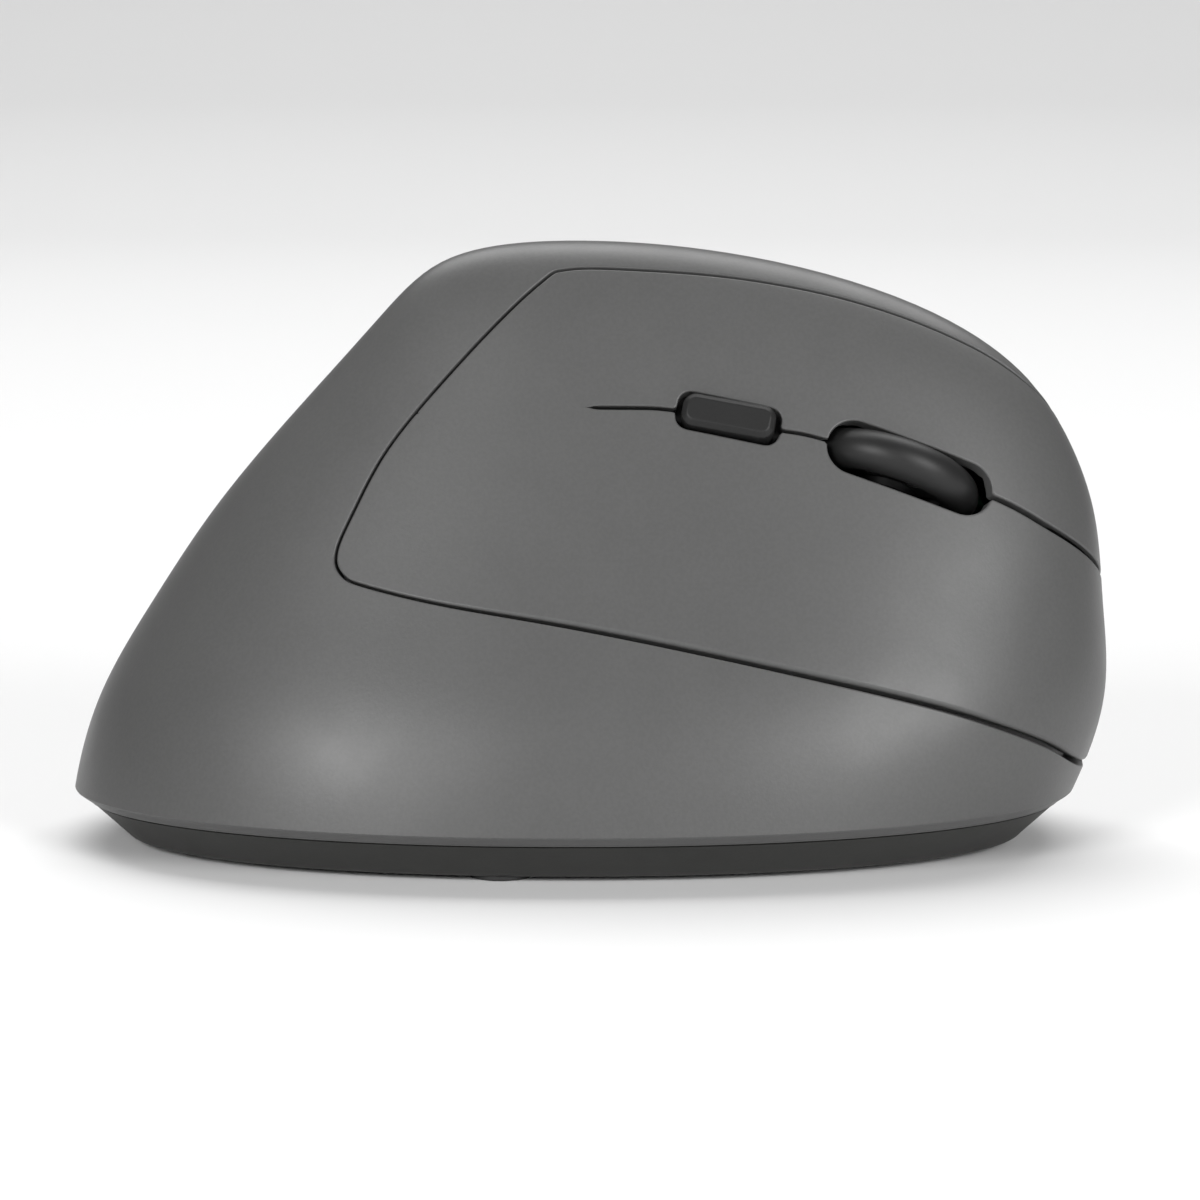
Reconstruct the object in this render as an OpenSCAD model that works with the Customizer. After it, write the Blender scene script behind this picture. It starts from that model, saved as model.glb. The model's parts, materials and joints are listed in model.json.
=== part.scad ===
// Upright computer mouse: a leaning grip casing with its keys, wheel and step button on the finger side.
// Millimetres. +Z is up, +X points to the nose, -Y is the finger side and +Y the thumb side.
// The origin is on the desk, under the middle of the casing.

/* [Casing] */
// Length from nose to tail, measured at the lip
body_l = 121; // [119:0.5:123]
// Width from finger side to thumb side, measured at the lip
body_w = 75.5; // [75:0.5:77]
// Height of the crown above the desk
body_h = 70; // [69.5:0.5:71]
// Height of the lip above the desk
lip_z = 6.4; // [6.2:0.1:6.6]
// Thickness of the casing wall
wall_t = 2; // [1.6:0.1:2.2]
// Lean of the key panel from upright, in degrees
face_lean = 25; // [24:0.5:26]

/* [Keys] */
// Thickness of the key panel
key_t = 1.8; // [1.4:0.1:1.9]
// Gap between the key panel and the casing
seam_gap = 0.35; // [0.25:0.05:0.5]
// Gap of the split between the two keys
split_gap = 0.5; // [0.4:0.05:0.7]
// Length of the step button
step_l = 11.4; // [10:0.1:12]
// Width of the step button
step_w = 4; // [3.6:0.1:4.4]

/* [Wheel] */
// Diameter of the wheel over its tyre
wheel_d = 21; // [20.5:0.5:22]
// Width of the tyre
wheel_w = 5.6; // [5:0.1:5.6]
// Diameter of the axle
axle_d = 3; // [2.6:0.1:3.2]
// Length of the wheel's slot in the panel
slot_l = 19.6; // [19:0.1:20]
// Width of the wheel's slot
slot_w = 6.4; // [6.4:0.1:7]

/* [Base] */
// Thickness of the base floor
floor_t = 2; // [1.6:0.1:2.2]
// How far the base plate tapers in below the lip
base_taper = 6; // [5:0.5:6]
// Thickness of the glide feet
foot_t = 0.6; // [0.5:0.1:0.8]
// Travel of the power slider
power_travel = 2.5; // [2:0.1:2.8]

/* [Battery] */
// Diameter of the AA cell
cell_d = 14.2; // [14:0.1:14.5]
// Length of the AA cell without its terminal
cell_l = 49; // [48.5:0.1:49.5]

/* [Fineness] */
// Rings of facets up the skin
skin_rings = 20; // [16:1:22]
// Facets round each ring, a multiple of four
skin_sides = 64; // [48:4:72]

/* [Hidden] */
$fn = 32;

// The skin: its reach from an upright column, at ten even shares of the way from the lip to the crown.
// The reach is what it would be if the skin didn't close over at the crown.
nose_reach = [58.5, 63.5, 65, 70, 74.5, 80.5, 84.5, 85.5, 84.5, 83.5] * body_l / 121;
tail_reach = [58.5, 56.5, 52, 49, 45.5, 43, 43.5, 50, 63.5, 77] * body_l / 121;
finger_reach = [33.5, 31.8, 26.8, 23.2, 20.6, 18.9, 18.2, 18.2, 19, 20] * body_w / 75.5;
thumb_reach = [42, 29.5, 23, 21, 21, 22, 23, 24, 25, 26] * body_w / 75.5;
// How square each finger-side quarter of a ring is: 2 is an ellipse
nose_square = [2.1, 2.2, 2.3, 2.3, 2.2, 2.1, 2, 2, 2, 2];
tail_square = [2.1, 2.1, 2.1, 2.1, 2.1, 2, 2, 2, 2, 2];
thumb_square = 2.1;
column = [-1.8, -4.25];

// Below the lip: a strip of the casing turns in, and the base plate goes on from it
strip_z = 5.1;
strip_in = 1.6;
base_top = 5;
base_in = 1.9;
rim_in = 3.9;
floor_top = foot_t + floor_t;
tiny = 0.05;

// The key panel's edge in the panel's own plane: first up the nose, over the back, and down along the flank
key_edge = [
    [68, 34], [51, 46], [41.5, 50.7], [30, 54.2], [18, 56.2], [6, 57], [-2.5, 57], [-6, 55], [-15, 45.7],
    [-22.9, 36.2], [-27.3, 27.8], [-28.9, 23.5], [-28.2, 20.9], [-25.4, 19.2], [-15.8, 16.3], [1, 12.9],
    [23.4, 8.3], [40.4, 5.3], [51, 3.6], [68, 2]
];
// The panel stops on the nose at this Y, and above this Z
nose_y = -1.5;
chin_z = 9;
// The casing's ledge under the panel's edge
ledge_w = 2.5;
ledge_t = 2;
key_room = 0.8;
// Extra gap on the nose, where a pressed key moves towards the casing
nose_gap = 0.2;
// The split between the keys, from its blind end to the nose
split_line = [[0, 39.8], [10, 39.5], [21, 37.5], [27, 36.4], [45.8, 31], [54, 27.8], [68, 22.9]];
// The keys bend along this line behind the split's blind end
bend_u = 1;

// The step button and the wheel, on the panel
step_at = [15.8, 38.7];
step_turn = -11;
slot_at = [36.5, 33.7];
slot_turn = -17.7;
wheel_at = [34.6, 34.3, 28.1];
wheel_clear = 0.5;
step_clear = 0.3;
step_top = 39.1;
step_chamfer = 1;
step_collar = 1.4;
tyre_depth = 2.6;
tyre_round = 1.7;

// The slanted board behind the keys
board_t = 1.2;
board_w0 = 20;
board_w1 = board_w0 + board_t;
board_outline = [[8, 12], [46, 12], [46, 33], [38.6, 50.3], [25, 50.3], [22, 47.5], [8, 47.5]];
board_holes = [[11, 15], [43, 15], [11, 33]];
micro_size = [12.8, 5.8, 6.5];
left_micro = [25.5, 44.3];
right_micro = [22, 15.6];
micro_plunger_u = 9.8;
plunger_h = 0.7;
micro_top = board_w1 + micro_size.z + plunger_h;
tact_size = [6, 6, 3.5];
tact_r = 1.6;
pocket = 0.8;
seated = 0.2;
wheel_tact = [8, -9.2];
step_plunger_top = 29.2;
wheel_plunger_top = 26.2;

// The chassis plate that carries the slanted board
chassis_t = 1.6;
chassis_w0 = 16;
chassis_legs = [-4, 38];
leg_w = 4;
tab_x = [for (x = chassis_legs) x + leg_w / 2];
leg_end = 5.4;
tab_y = -20.4;
tab_hole = 1.9;
tab_t = 1.4;

// Holes: clearance round a shank, and a drilled start for one
shank_r = 0.8;
clear_r = shank_r + 0.2;
pilot_r = shank_r + tiny;
screw_head = 1.1;

// The thumb buttons and their board
thumb_z = 49.5;
thumb_h = 7;
thumb_l = 21;
thumb_x = [-18.5, 5.5];
thumb_proud = 1;
side_board_y = 3;
side_board_t = 1;
side_holes = [[4, 44], [4, 53]];
side_tact = [4.5, 2.5, 4.5];
side_plunger_y = 7.3;
side_boss_r = 1.8;
side_stem_r = 1.3;

// The main board
main_x = [0.5, 37.5];
main_y = [-27, 3];
main_z = 7.5;
main_top = main_z + board_t;
main_holes = [[4, 0], [34.5, 0], [4, -24]];
socket_h = 2.4;
sensor_at = [14, -11];

// Screws through the base into the casing's posts
base_holes = [[-42, -5], [-10, -27], [0, 27], [42, 8]];
post_r = 3;
main_post_r = 2.4;
tab_post_r = 2.2;
sink_r = 2.1;
sink_h = 2.2;

// The cell, the receiver and the power slider, in the base
cell_at = [-5, 14, 11.2];
bay_x = [-32.5, 23.5];
bay_y = [cell_at.y - 7.7, cell_at.y + 7.7];
door_x = [-29, 20];
bay_wall = 1.2;
receiver_at = [-35, -24.2, 1.2];
receiver_l = 19.4;
receiver_w = 14.6;
receiver_h = 6;
receiver_cap_l = 7;
receiver_room = 0.3;
plug_w = 12;
plug_h = 4.5;
plug_wall = 0.5;
terminal_r = 2.7;
terminal_h = 1.4;
power_at = [33, 11];

// A smooth value at a share of the way along a list of even steps
function spline(list, share) =
    let(n = len(list) - 1,
        at = min(max(share, 0), 1) * n,
        i = min(floor(at), n - 1),
        f = at - i,
        before = i > 0 ? list[i - 1] : 2 * list[0] - list[1],
        after = i < n - 1 ? list[i + 2] : 2 * list[n] - list[n - 1])
    ((1 - f) ^ 3 * before + (3 * f ^ 3 - 6 * f ^ 2 + 4) * list[i]
        + (-3 * f ^ 3 + 3 * f ^ 2 + 3 * f + 1) * list[i + 1] + f ^ 3 * after) / 6;

// A point of the skin: share is 0 at the lip and 1 at the crown,
// and turn is 0 at the nose and 90 at the thumb side
function skin_at(share, turn) =
    let(c = cos(turn),
        s = sin(turn),
        n = s >= 0 ? thumb_square : spline(c >= 0 ? nose_square : tail_square, share),
        spread = (abs(c) ^ n + abs(s) ^ n) ^ (1 / n),
        closing = cos(90 * share),
        along = spline(c >= 0 ? nose_reach : tail_reach, share),
        across = spline(s >= 0 ? thumb_reach : finger_reach, share))
    [column.x + along * closing * c / spread,
     column.y + across * closing * s / spread,
     lip_z + (body_h - lip_z) * sin(90 * share)];

// The outward direction of the skin there
function skin_normal(share, turn) =
    let(up = skin_at(share + 0.01, turn) - skin_at(share - 0.01, turn),
        round_it = skin_at(share, turn + 1) - skin_at(share, turn - 1),
        n = cross(round_it, up))
    n / norm(n);

// A ring of the skin, moved in by depth
function skin_ring(share, depth) =
    [for (j = [0 : skin_sides - 1])
        let(turn = 360 * j / skin_sides)
        skin_at(share, turn) - depth * skin_normal(share, turn)];

// The lip's outline moved in by depth and set at height z
function lip_ring(depth, z) =
    [for (j = [0 : skin_sides - 1])
        let(turn = 360 * j / skin_sides,
            n = skin_normal(0, turn),
            p = skin_at(0, turn) - depth * [n.x, n.y, 0] / norm([n.x, n.y]))
        [p.x, p.y, z]];

// A smooth curve through a list of points, four steps between each pair
function through(points) =
    [for (i = [0 : len(points) - 2], k = [0 : 3])
        let(f = k / 4,
            a = points[max(i - 1, 0)],
            b = points[i],
            c = points[i + 1],
            d = points[min(i + 2, len(points) - 1)])
        (2 * b + (c - a) * f + (2 * a - 5 * b + 4 * c - d) * f ^ 2 + (3 * b - a - 3 * c + d) * f ^ 3) / 2];

// A solid through a stack of rings with the same number of points, closed at the end by a point
module loft(rings, tip) {
    n = len(rings[0]);
    m = len(rings);
    polyhedron(
        points = concat([for (ring = rings) each ring], [tip]),
        faces = concat(
            [[for (j = [0 : n - 1]) j]],
            [for (i = [0 : m - 2], j = [0 : n - 1], second = [0, 1])
                let(next = (j + 1) % n)
                second == 0
                    ? [i * n + j, (i + 1) * n + j, (i + 1) * n + next]
                    : [i * n + j, (i + 1) * n + next, i * n + next]],
            [for (j = [0 : n - 1]) [(m - 1) * n + (j + 1) % n, (m - 1) * n + j, m * n]]));
}

// The solid inside the skin moved in by depth, with foot a list of [depth, height] rings below the lip
module skin_solid(depth, foot) {
    crown = skin_at(1, 0);
    loft(concat(
        [for (f = foot) lip_ring(f[0], f[1])],
        [lip_ring(depth, lip_z)],
        [for (i = [1 : skin_rings - 1]) skin_ring(i / skin_rings, depth)]),
        [crown.x, crown.y, body_h - depth]);
}

// The key panel's own frame: X stays, Y goes up the panel and Z out of it
module on_face() {
    rotate([90 - face_lean, 0, 0]) children();
}

// The wheel's frame: Z along the axle, X along the slot, origin at the wheel's centre
module on_wheel() {
    on_face() translate(wheel_at) rotate([0, 0, slot_turn]) rotate([-90, 0, 0]) children();
}

// A flat shape with half-round ends
module stadium(length, width) {
    square([length - width, width], center = true);
    for (side = [-1, 1]) translate([side * (length - width) / 2, 0]) circle(d = width);
}

// A flat rectangle with rounded corners
module rounded(length, width, r) {
    square([length, width - 2 * r], center = true);
    square([length - 2 * r, width], center = true);
    for (i = [-1, 1], j = [-1, 1]) translate([i * (length / 2 - r), j * (width / 2 - r)]) circle(r);
}

// The whole panel's room, grown by grow: a prism across the panel, cut off on the nose and at the chin
module key_zone(grow, nose = 0) {
    intersection() {
        on_face() linear_extrude(60) offset(delta = grow) polygon(through(key_edge));
        translate([-60, nose_y + grow - nose - 100, chin_z - grow]) cube([140, 100, 80]);
    }
}

// The part of the skin that the key panel takes, as a sheet of its own thickness
module key_sheet() {
    difference() {
        intersection() {
            skin_solid(0, [[0, lip_z - 1]]);
            key_zone(-seam_gap, nose_gap);
        }
        skin_solid(key_t, [[key_t, lip_z - 2]]);
    }
}

// The room above or below the split, side 1 or -1, in front of the bend line
module split_zone(side) {
    far = 40 + side * 60;
    edge = through(concat([[-20, split_line[0].y]], split_line));
    on_face() linear_extrude(60) intersection() {
        offset(delta = -split_gap / 2) polygon(concat(edge, [[68, far], [-20, far]]));
        translate([bend_u + split_gap / 2, -20]) square([80, 100]);
    }
}

// Holes in the keys for the step button and the wheel
module key_holes() {
    on_face() translate([step_at.x, step_at.y, 10]) rotate(step_turn)
        linear_extrude(60) rounded(step_l + 2 * step_clear, step_w + 2 * step_clear, 1.6);
    on_face() translate([slot_at.x, slot_at.y, 10]) rotate(slot_turn)
        linear_extrude(60) stadium(slot_l, slot_w);
    on_wheel() cylinder(r = wheel_d / 2 + wheel_clear, h = slot_w, center = true);
}

// A key's inner post, which stands over a switch plunger
module key_post(at, bottom) {
    intersection() {
        on_face() translate([at.x, at.y, bottom]) cylinder(r = 1.6, h = 20);
        skin_solid(key_t / 2, [[key_t, lip_z - 1]]);
    }
}

// One key: its part of the panel, with the post over its microswitch
module key(side, micro) {
    resize([0, 0, 0]) union() {
        difference() {
            intersection() {
                key_sheet();
                split_zone(side);
            }
            key_holes();
        }
        key_post([micro.x + micro_plunger_u, micro.y + micro_size.y / 2], micro_top + tiny);
    }
}

module left_button() { color("dimgray") key(1, left_micro); }

module right_button() { color("dimgray") key(-1, right_micro); }

// The fixed rear part of the key panel, behind the bend line
module key_plate() {
    color("dimgray") resize([0, 0, 0]) intersection() {
        key_sheet();
        on_face() translate([-80, -20, 0]) cube([80 + bend_u - split_gap / 2, 100, 60]);
    }
}

// Room for a thumb button, grown by grow: along Y from inside the wall outwards
module thumb_zone(x, grow) {
    translate([x + thumb_l / 2, 5, thumb_z]) rotate([-90, 0, 0])
        linear_extrude(20) offset(delta = grow) rounded(thumb_l, thumb_h, 2.5);
}

// The casing's posts for the base screws and bosses for the thumb board
module casing_posts() {
    for (p = base_holes) translate([p.x, p.y, base_top]) cylinder(r = post_r, h = body_h);
    for (p = side_holes) translate([p.x, side_board_y + side_board_t, p.y]) rotate([-90, 0, 0])
        cylinder(r = side_boss_r, h = 12);
}

module body_shell() {
    color("dimgray") resize([0, 0, 0]) difference() {
        skin_solid(0, [[strip_in, strip_z]]);
        difference() {
            skin_solid(wall_t, [[strip_in + wall_t, strip_z - tiny]]);
            casing_posts();
            difference() {
                key_zone(2);
                key_zone(-ledge_w);
                skin_solid(key_t + ledge_t, [[key_t + ledge_t, 0]]);
            }
        }
        difference() {
            key_zone(0);
            skin_solid(key_t + key_room, [[key_t + key_room, 0]]);
        }
        difference() {
            key_zone(-ledge_w);
            skin_solid(key_t + ledge_t + 1, [[key_t + ledge_t + 1, 0]]);
        }
        for (x = thumb_x) thumb_zone(x, step_clear);
        for (p = base_holes) translate([p.x, p.y, 0]) cylinder(r = pilot_r, h = 12.5);
        for (p = side_holes) translate([p.x, 0, p.y]) rotate([-90, 0, 0]) cylinder(r = pilot_r, h = 8);
    }
}

// A thumb button: a slice of the skin that stands proud of it, with a stem to its switch
module thumb_button(x) {
    resize([0, 0, 0]) union() {
        difference() {
            intersection() {
                skin_solid(-thumb_proud, [[0, lip_z - 1]]);
                thumb_zone(x, 0);
            }
            skin_solid(wall_t - 0.2, [[wall_t, lip_z - 2]]);
        }
        intersection() {
            translate([x + thumb_l / 2, side_plunger_y + tiny, thumb_z]) rotate([-90, 0, 0])
                cylinder(r = side_stem_r, h = 8);
            skin_solid(0.5, [[1, lip_z - 1]]);
        }
    }
}

module forward_button() { color("dimgray") thumb_button(thumb_x[1]); }

module back_button() { color("dimgray") thumb_button(thumb_x[0]); }

// The step button: a chamfered cap in the split, with a collar under the keys and a stem to its switch
module dpi_button() {
    foot = 35;
    brow = step_top - step_chamfer;
    color("black") on_face() translate([step_at.x, step_at.y, 0]) rotate(step_turn) {
        translate([0, 0, foot]) linear_extrude(brow + 0.1 - foot) rounded(step_l, step_w, 1.4);
        hull() {
            translate([0, 0, brow]) linear_extrude(0.1) rounded(step_l, step_w, 1.4);
            translate([0, 0, step_top - 0.1]) linear_extrude(0.1) rounded(step_l - 1.8, step_w - 1.6, 0.8);
        }
        translate([0, 0, foot - 1]) linear_extrude(1.1)
            rounded(step_l + step_collar, step_w + step_collar, 1.4);
        translate([0, 0, step_plunger_top + tiny]) cylinder(r = 1.4, h = foot - 1 + 0.2 - step_plunger_top);
    }
}

// A straight-sided or tapered block between two insets of the lip's outline
module lip_block(in0, z0, in1, z1) {
    loft([lip_ring(in0, z0), lip_ring(in1, z1)], [0, 0, z1]);
}

// The room that the base plate and what stands on it may take
module base_room() {
    loft([lip_ring(base_taper + 0.6, foot_t), lip_ring(base_taper, foot_t + 0.5), lip_ring(base_in, base_top)],
        [0, 0, base_top]);
    lip_block(rim_in, base_top - 1, rim_in, 20);
}

// What stands on the base: the tray's floor and walls, its locating rim, bosses, battery bay
// and receiver pocket
module base_walls() {
    difference() {
        lip_block(0, 0, 0, base_top);
        lip_block(base_taper + floor_t, floor_top, base_in + floor_t, base_top + 1);
    }
    difference() {
        lip_block(0, base_top - 1, 0, base_top + 1.8);
        lip_block(rim_in + 1.2, base_top - 2, rim_in + 1.2, base_top + 3);
    }
    for (p = base_holes) translate([p.x, p.y, foot_t]) cylinder(r = post_r, h = base_top - foot_t - tiny);
    for (p = main_holes) translate([p.x, p.y, foot_t]) cylinder(r = main_post_r, h = main_z - foot_t);
    for (x = tab_x) translate([x, tab_y + tab_hole, foot_t]) cylinder(r = tab_post_r, h = 4);
    translate([bay_x[0] - bay_wall, bay_y[0] - bay_wall, foot_t])
        cube([bay_x[1] - bay_x[0] + 2 * bay_wall, bay_y[1] - bay_y[0] + 2 * bay_wall, 10]);
    translate([receiver_at.x - 1.5, receiver_at.y - 1.5, foot_t])
        cube([receiver_l + 3, receiver_w + 3, receiver_h + 2.5]);
}

// What is cut out of the base: the bay, the door's and the receiver's openings, screw holes and two windows
module base_cuts() {
    translate([bay_x[0], bay_y[0], floor_top + 0.2]) cube([bay_x[1] - bay_x[0], bay_y[1] - bay_y[0], 20]);
    translate([door_x[0] - 0.4, bay_y[0] + 0.6, 0])
        cube([door_x[1] - door_x[0] + 0.8, bay_y[1] - bay_y[0] - 1.2, 8]);
    translate([receiver_at.x - receiver_room, receiver_at.y - receiver_room, 0])
        cube([receiver_l + 2 * receiver_room, receiver_w + 2 * receiver_room, receiver_h + 1.5]);
    for (p = base_holes) translate([p.x, p.y, 0]) {
        cylinder(r = clear_r, h = 10);
        cylinder(r = sink_r, h = sink_h);
    }
    for (p = main_holes) translate([p.x, p.y, floor_top]) cylinder(r = pilot_r, h = 10);
    for (x = tab_x) translate([x, tab_y + tab_hole, foot_t + 1]) cylinder(r = pilot_r, h = 10);
    translate([sensor_at.x, sensor_at.y, 0]) linear_extrude(10) rounded(9, 7, 2);
    translate([power_at.x, power_at.y, 0]) linear_extrude(10) square([4.4 + power_travel, 3.2], center = true);
}

// Base: a tapered tray
module base_plate() {
    color([0.19, 0.19, 0.18]) resize([0, 0, 0]) difference() {
        intersection() {
            base_room();
            base_walls();
        }
        base_cuts();
    }
}

// Glide feet: two long pads under nose and tail and two round ones at the sides
module glide_feet() {
    color([0.1, 0.1, 0.1]) {
        translate([-44, -5, 0]) rotate(90) linear_extrude(foot_t) stadium(24, 7);
        translate([41, 0, 0]) rotate(90) linear_extrude(foot_t) stadium(28, 7);
        for (i = [1, 2]) translate([base_holes[i].x, base_holes[i].y, 0]) cylinder(r = 3.6, h = foot_t);
    }
}

// A pan-head screw along Z with its head's underside at 0 and its shank going up
module screw(length, head_r) {
    translate([0, 0, -screw_head]) cylinder(r = head_r, h = screw_head);
    cylinder(r = shank_r, h = length);
}

module base_screws() {
    color("silver") for (p = base_holes) translate([p.x, p.y, sink_h]) screw(9.5, 1.8);
}

// The battery door in the base's floor, hooked at its nose end, with a finger ridge at its latch end
module battery_door() {
    color([0.19, 0.19, 0.18]) {
        translate([door_x[0], bay_y[0] + 0.9, foot_t + 0.1])
            cube([door_x[1] - door_x[0], bay_y[1] - bay_y[0] - 1.8, 1.6]);
        translate([door_x[0] + 3, cell_at.y - 4, foot_t + 1.6]) cube([1, 8, 0.9]);
    }
}

module power_slider() {
    color("dimgray") translate([power_at.x - power_travel / 2, power_at.y, 0]) {
        translate([-1.9, -1.3, foot_t + 0.2]) cube([3.8, 2.6, floor_t + 0.2]);
        translate([-3, -2.6, floor_top + 0.1]) cube([6, 5.2, 0.8]);
        translate([-0.8, -0.8, floor_top + 0.8]) cube([1.6, 1.6, 1]);
    }
}

module power_switch() {
    color("silver") translate([power_at.x, power_at.y, floor_top + 1.1]) difference() {
        translate([-4.6, -2.2, 0]) cube([9.2, 4.4, 3.4]);
        translate([-1 - power_travel / 2, -1, -1]) cube([2 + power_travel, 2, 2.2]);
    }
}

module receiver_cap() {
    color("black") translate(receiver_at) cube([receiver_cap_l, receiver_w, receiver_h]);
}

module receiver_plug() {
    side = (receiver_w - plug_w) / 2;
    below = (receiver_h - plug_h) / 2;
    color("silver") translate(receiver_at + [receiver_cap_l, side, below]) difference() {
        cube([receiver_l - receiver_cap_l, plug_w, plug_h]);
        translate([2, plug_wall, 2.5]) cube([receiver_l, plug_w - 2 * plug_wall, 1.6]);
    }
}

// The cell lies along X with its terminal towards the nose
module battery_cell() {
    color("darkgreen") translate(cell_at) rotate([0, 90, 0]) cylinder(d = cell_d, h = cell_l, center = true);
}

module battery_terminal() {
    color("silver") translate(cell_at + [cell_l / 2, 0, 0]) rotate([0, 90, 0])
        cylinder(r = terminal_r, h = terminal_h);
}

// A conical wire spring between the bay's tail wall and the cell
module battery_spring() {
    turns = 3;
    steps = 36;
    wire_r = 0.35;
    x0 = bay_x[0] + wire_r + tiny;
    x1 = cell_at.x - cell_l / 2 - wire_r - tiny;
    path = [for (i = [0 : steps]) [x0 + (x1 - x0) * i / steps, 360 * turns * i / steps, 5 - 2.4 * i / steps]];
    rings = [for (p = path) [for (j = [0 : 5])
        let(r = p[2] + wire_r * cos(60 * j))
        [p[0] + wire_r * sin(60 * j), r * cos(p[1]), r * sin(p[1])]]];
    last = path[steps];
    tip = [last[0], last[2] * cos(last[1]), last[2] * sin(last[1])];
    color("silver") translate([0, cell_at.y, cell_at.z]) loft(rings, tip);
}

module battery_contact() {
    color("silver") translate([bay_x[1] - 0.8, cell_at.y - 4.5, cell_at.z - 5]) cube([0.6, 9, 9]);
}

// The chassis plate's outline with its two legs, and openings for the wheel and the ribbon
module chassis_outline() {
    difference() {
        union() {
            translate([chassis_legs[0], 8]) square([46 - chassis_legs[0], 30]);
            for (x = chassis_legs) translate([x, -1.5]) square([leg_w, 12]);
        }
        translate([wheel_at.x, wheel_at.y]) rotate(slot_turn) square([11, 7.4], center = true);
        translate([20, 10]) square([12, 8]);
    }
}

// Chassis: a leaning plate on two legs with foot tabs, and three standoffs for the slanted board
module chassis_plate() {
    standoff_w = chassis_w0 + chassis_t / 2;
    color([0.25, 0.25, 0.26]) difference() {
        union() {
            on_face() translate([0, 0, chassis_w0]) linear_extrude(chassis_t) chassis_outline();
            for (x = chassis_legs) translate([x - 0.5, tab_y, foot_t + 4]) cube([leg_w + 1, 7.2, tab_t]);
            on_face() for (p = board_holes)
                translate([p.x, p.y, standoff_w]) cylinder(r = 2.2, h = board_w0 - standoff_w);
        }
        on_face() for (p = board_holes) translate([p.x, p.y, 10]) cylinder(r = pilot_r, h = 20);
        for (x = tab_x) translate([x, tab_y + tab_hole, 0]) cylinder(r = shank_r + 0.1, h = 10);
    }
}

module chassis_screws() {
    color("silver") for (x = tab_x)
        translate([x, tab_y + tab_hole, foot_t + leg_end]) mirror([0, 0, 1]) screw(3.6, 1.7);
}

module button_board() {
    color("darkgreen") difference() {
        on_face() translate([0, 0, board_w0]) linear_extrude(board_t) polygon(board_outline);
        on_face() for (p = board_holes) translate([p.x, p.y, 10]) cylinder(r = clear_r, h = 20);
        on_wheel() cube([19, 30, 7.4], center = true);
    }
}

module board_screws() {
    color("silver") on_face() for (p = board_holes)
        translate([p.x, p.y, board_w1]) mirror([0, 0, 1]) screw(4.6, 1.7);
}

// A microswitch on the slanted board, with a pocket that its plunger sinks into
module micro(at) {
    color("black") on_face() translate([at.x, at.y, board_w1]) difference() {
        cube(micro_size);
        translate([micro_plunger_u - 0.7, micro_size.y / 2 - 1.4, micro_size.z - pocket]) cube([1.4, 2.8, 2]);
    }
}

module micro_plunger(at) {
    color("white") on_face()
        translate([at.x + micro_plunger_u, at.y + micro_size.y / 2, board_w1 + micro_size.z - seated])
            translate([-0.6, -1.3, 0]) cube([1.2, 2.6, plunger_h + seated]);
}

// A square press switch with a round pocket, and its round plunger up to a height above the board
module tact() {
    color("black") difference() {
        translate([-tact_size.x / 2, -tact_size.y / 2, 0]) cube(tact_size);
        translate([0, 0, tact_size.z - pocket]) cylinder(r = tact_r + 0.1, h = 2);
    }
}

module tact_plunger(top) {
    from = tact_size.z - seated;
    color("white") translate([0, 0, from]) cylinder(r = tact_r, h = top - from);
}

module left_switch() { micro(left_micro); }

module left_plunger() { micro_plunger(left_micro); }

module right_switch() { micro(right_micro); }

module right_plunger() { micro_plunger(right_micro); }

module dpi_switch() {
    on_face() translate([step_at.x, step_at.y, board_w1]) tact();
}

module dpi_plunger() {
    on_face() translate([step_at.x, step_at.y, board_w1]) tact_plunger(step_plunger_top - board_w1);
}

// A place beside the wheel, along and across its slot, at height w out of the panel's plane
module by_wheel(at, w) {
    on_face() translate([wheel_at.x, wheel_at.y, w]) rotate(slot_turn) translate([at.x, at.y, 0]) children();
}

module wheel_switch() {
    by_wheel(wheel_tact, board_w1) tact();
}

module wheel_plunger() {
    by_wheel(wheel_tact, board_w1) tact_plunger(wheel_plunger_top - board_w1);
}

// Cradle: a frame round the wheel with two cheeks that hold the axle, and an ear over the wheel switch
module wheel_cradle() {
    frame_w = 22.2;
    color([0.25, 0.25, 0.26]) difference() {
        union() {
            by_wheel([0, 0], frame_w) difference() {
                translate([-13.6, -5.8, 0]) cube([27.2, 11.6, 1.8]);
                translate([-12.1, -4.4, -1]) cube([24.2, 8.8, 4]);
            }
            for (b = [-5.1, 5.1]) by_wheel([0, b], frame_w) translate([-3, -0.7, 0]) cube([6, 1.4, 8.4]);
            by_wheel(wheel_tact, wheel_plunger_top + tiny) translate([-2, -2.4, 0]) cube([4, 6.6, 1.2]);
            by_wheel([wheel_tact.x, -5.1], frame_w) translate([-2, -0.7, 0]) cube([4, 1.4, 5.25]);
        }
        on_wheel() cylinder(r = axle_d / 2 + 0.06, h = 40, center = true);
    }
}

// Hub: a spoked core on its axle; the tyre runs in its rim
module wheel_hub() {
    core_r = wheel_d / 2 - tyre_depth;
    color("black") on_wheel() {
        difference() {
            cylinder(r = core_r, h = wheel_w - 0.6, center = true);
            for (i = [0 : 5]) rotate(60 * i) translate([5.4, 0, 0]) cylinder(r = 1.6, h = 10, center = true);
        }
        cylinder(r = 2.6, h = 8.4, center = true);
        translate([0, 0, -10.4]) cylinder(d = axle_d, h = 16.8);
    }
}

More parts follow.
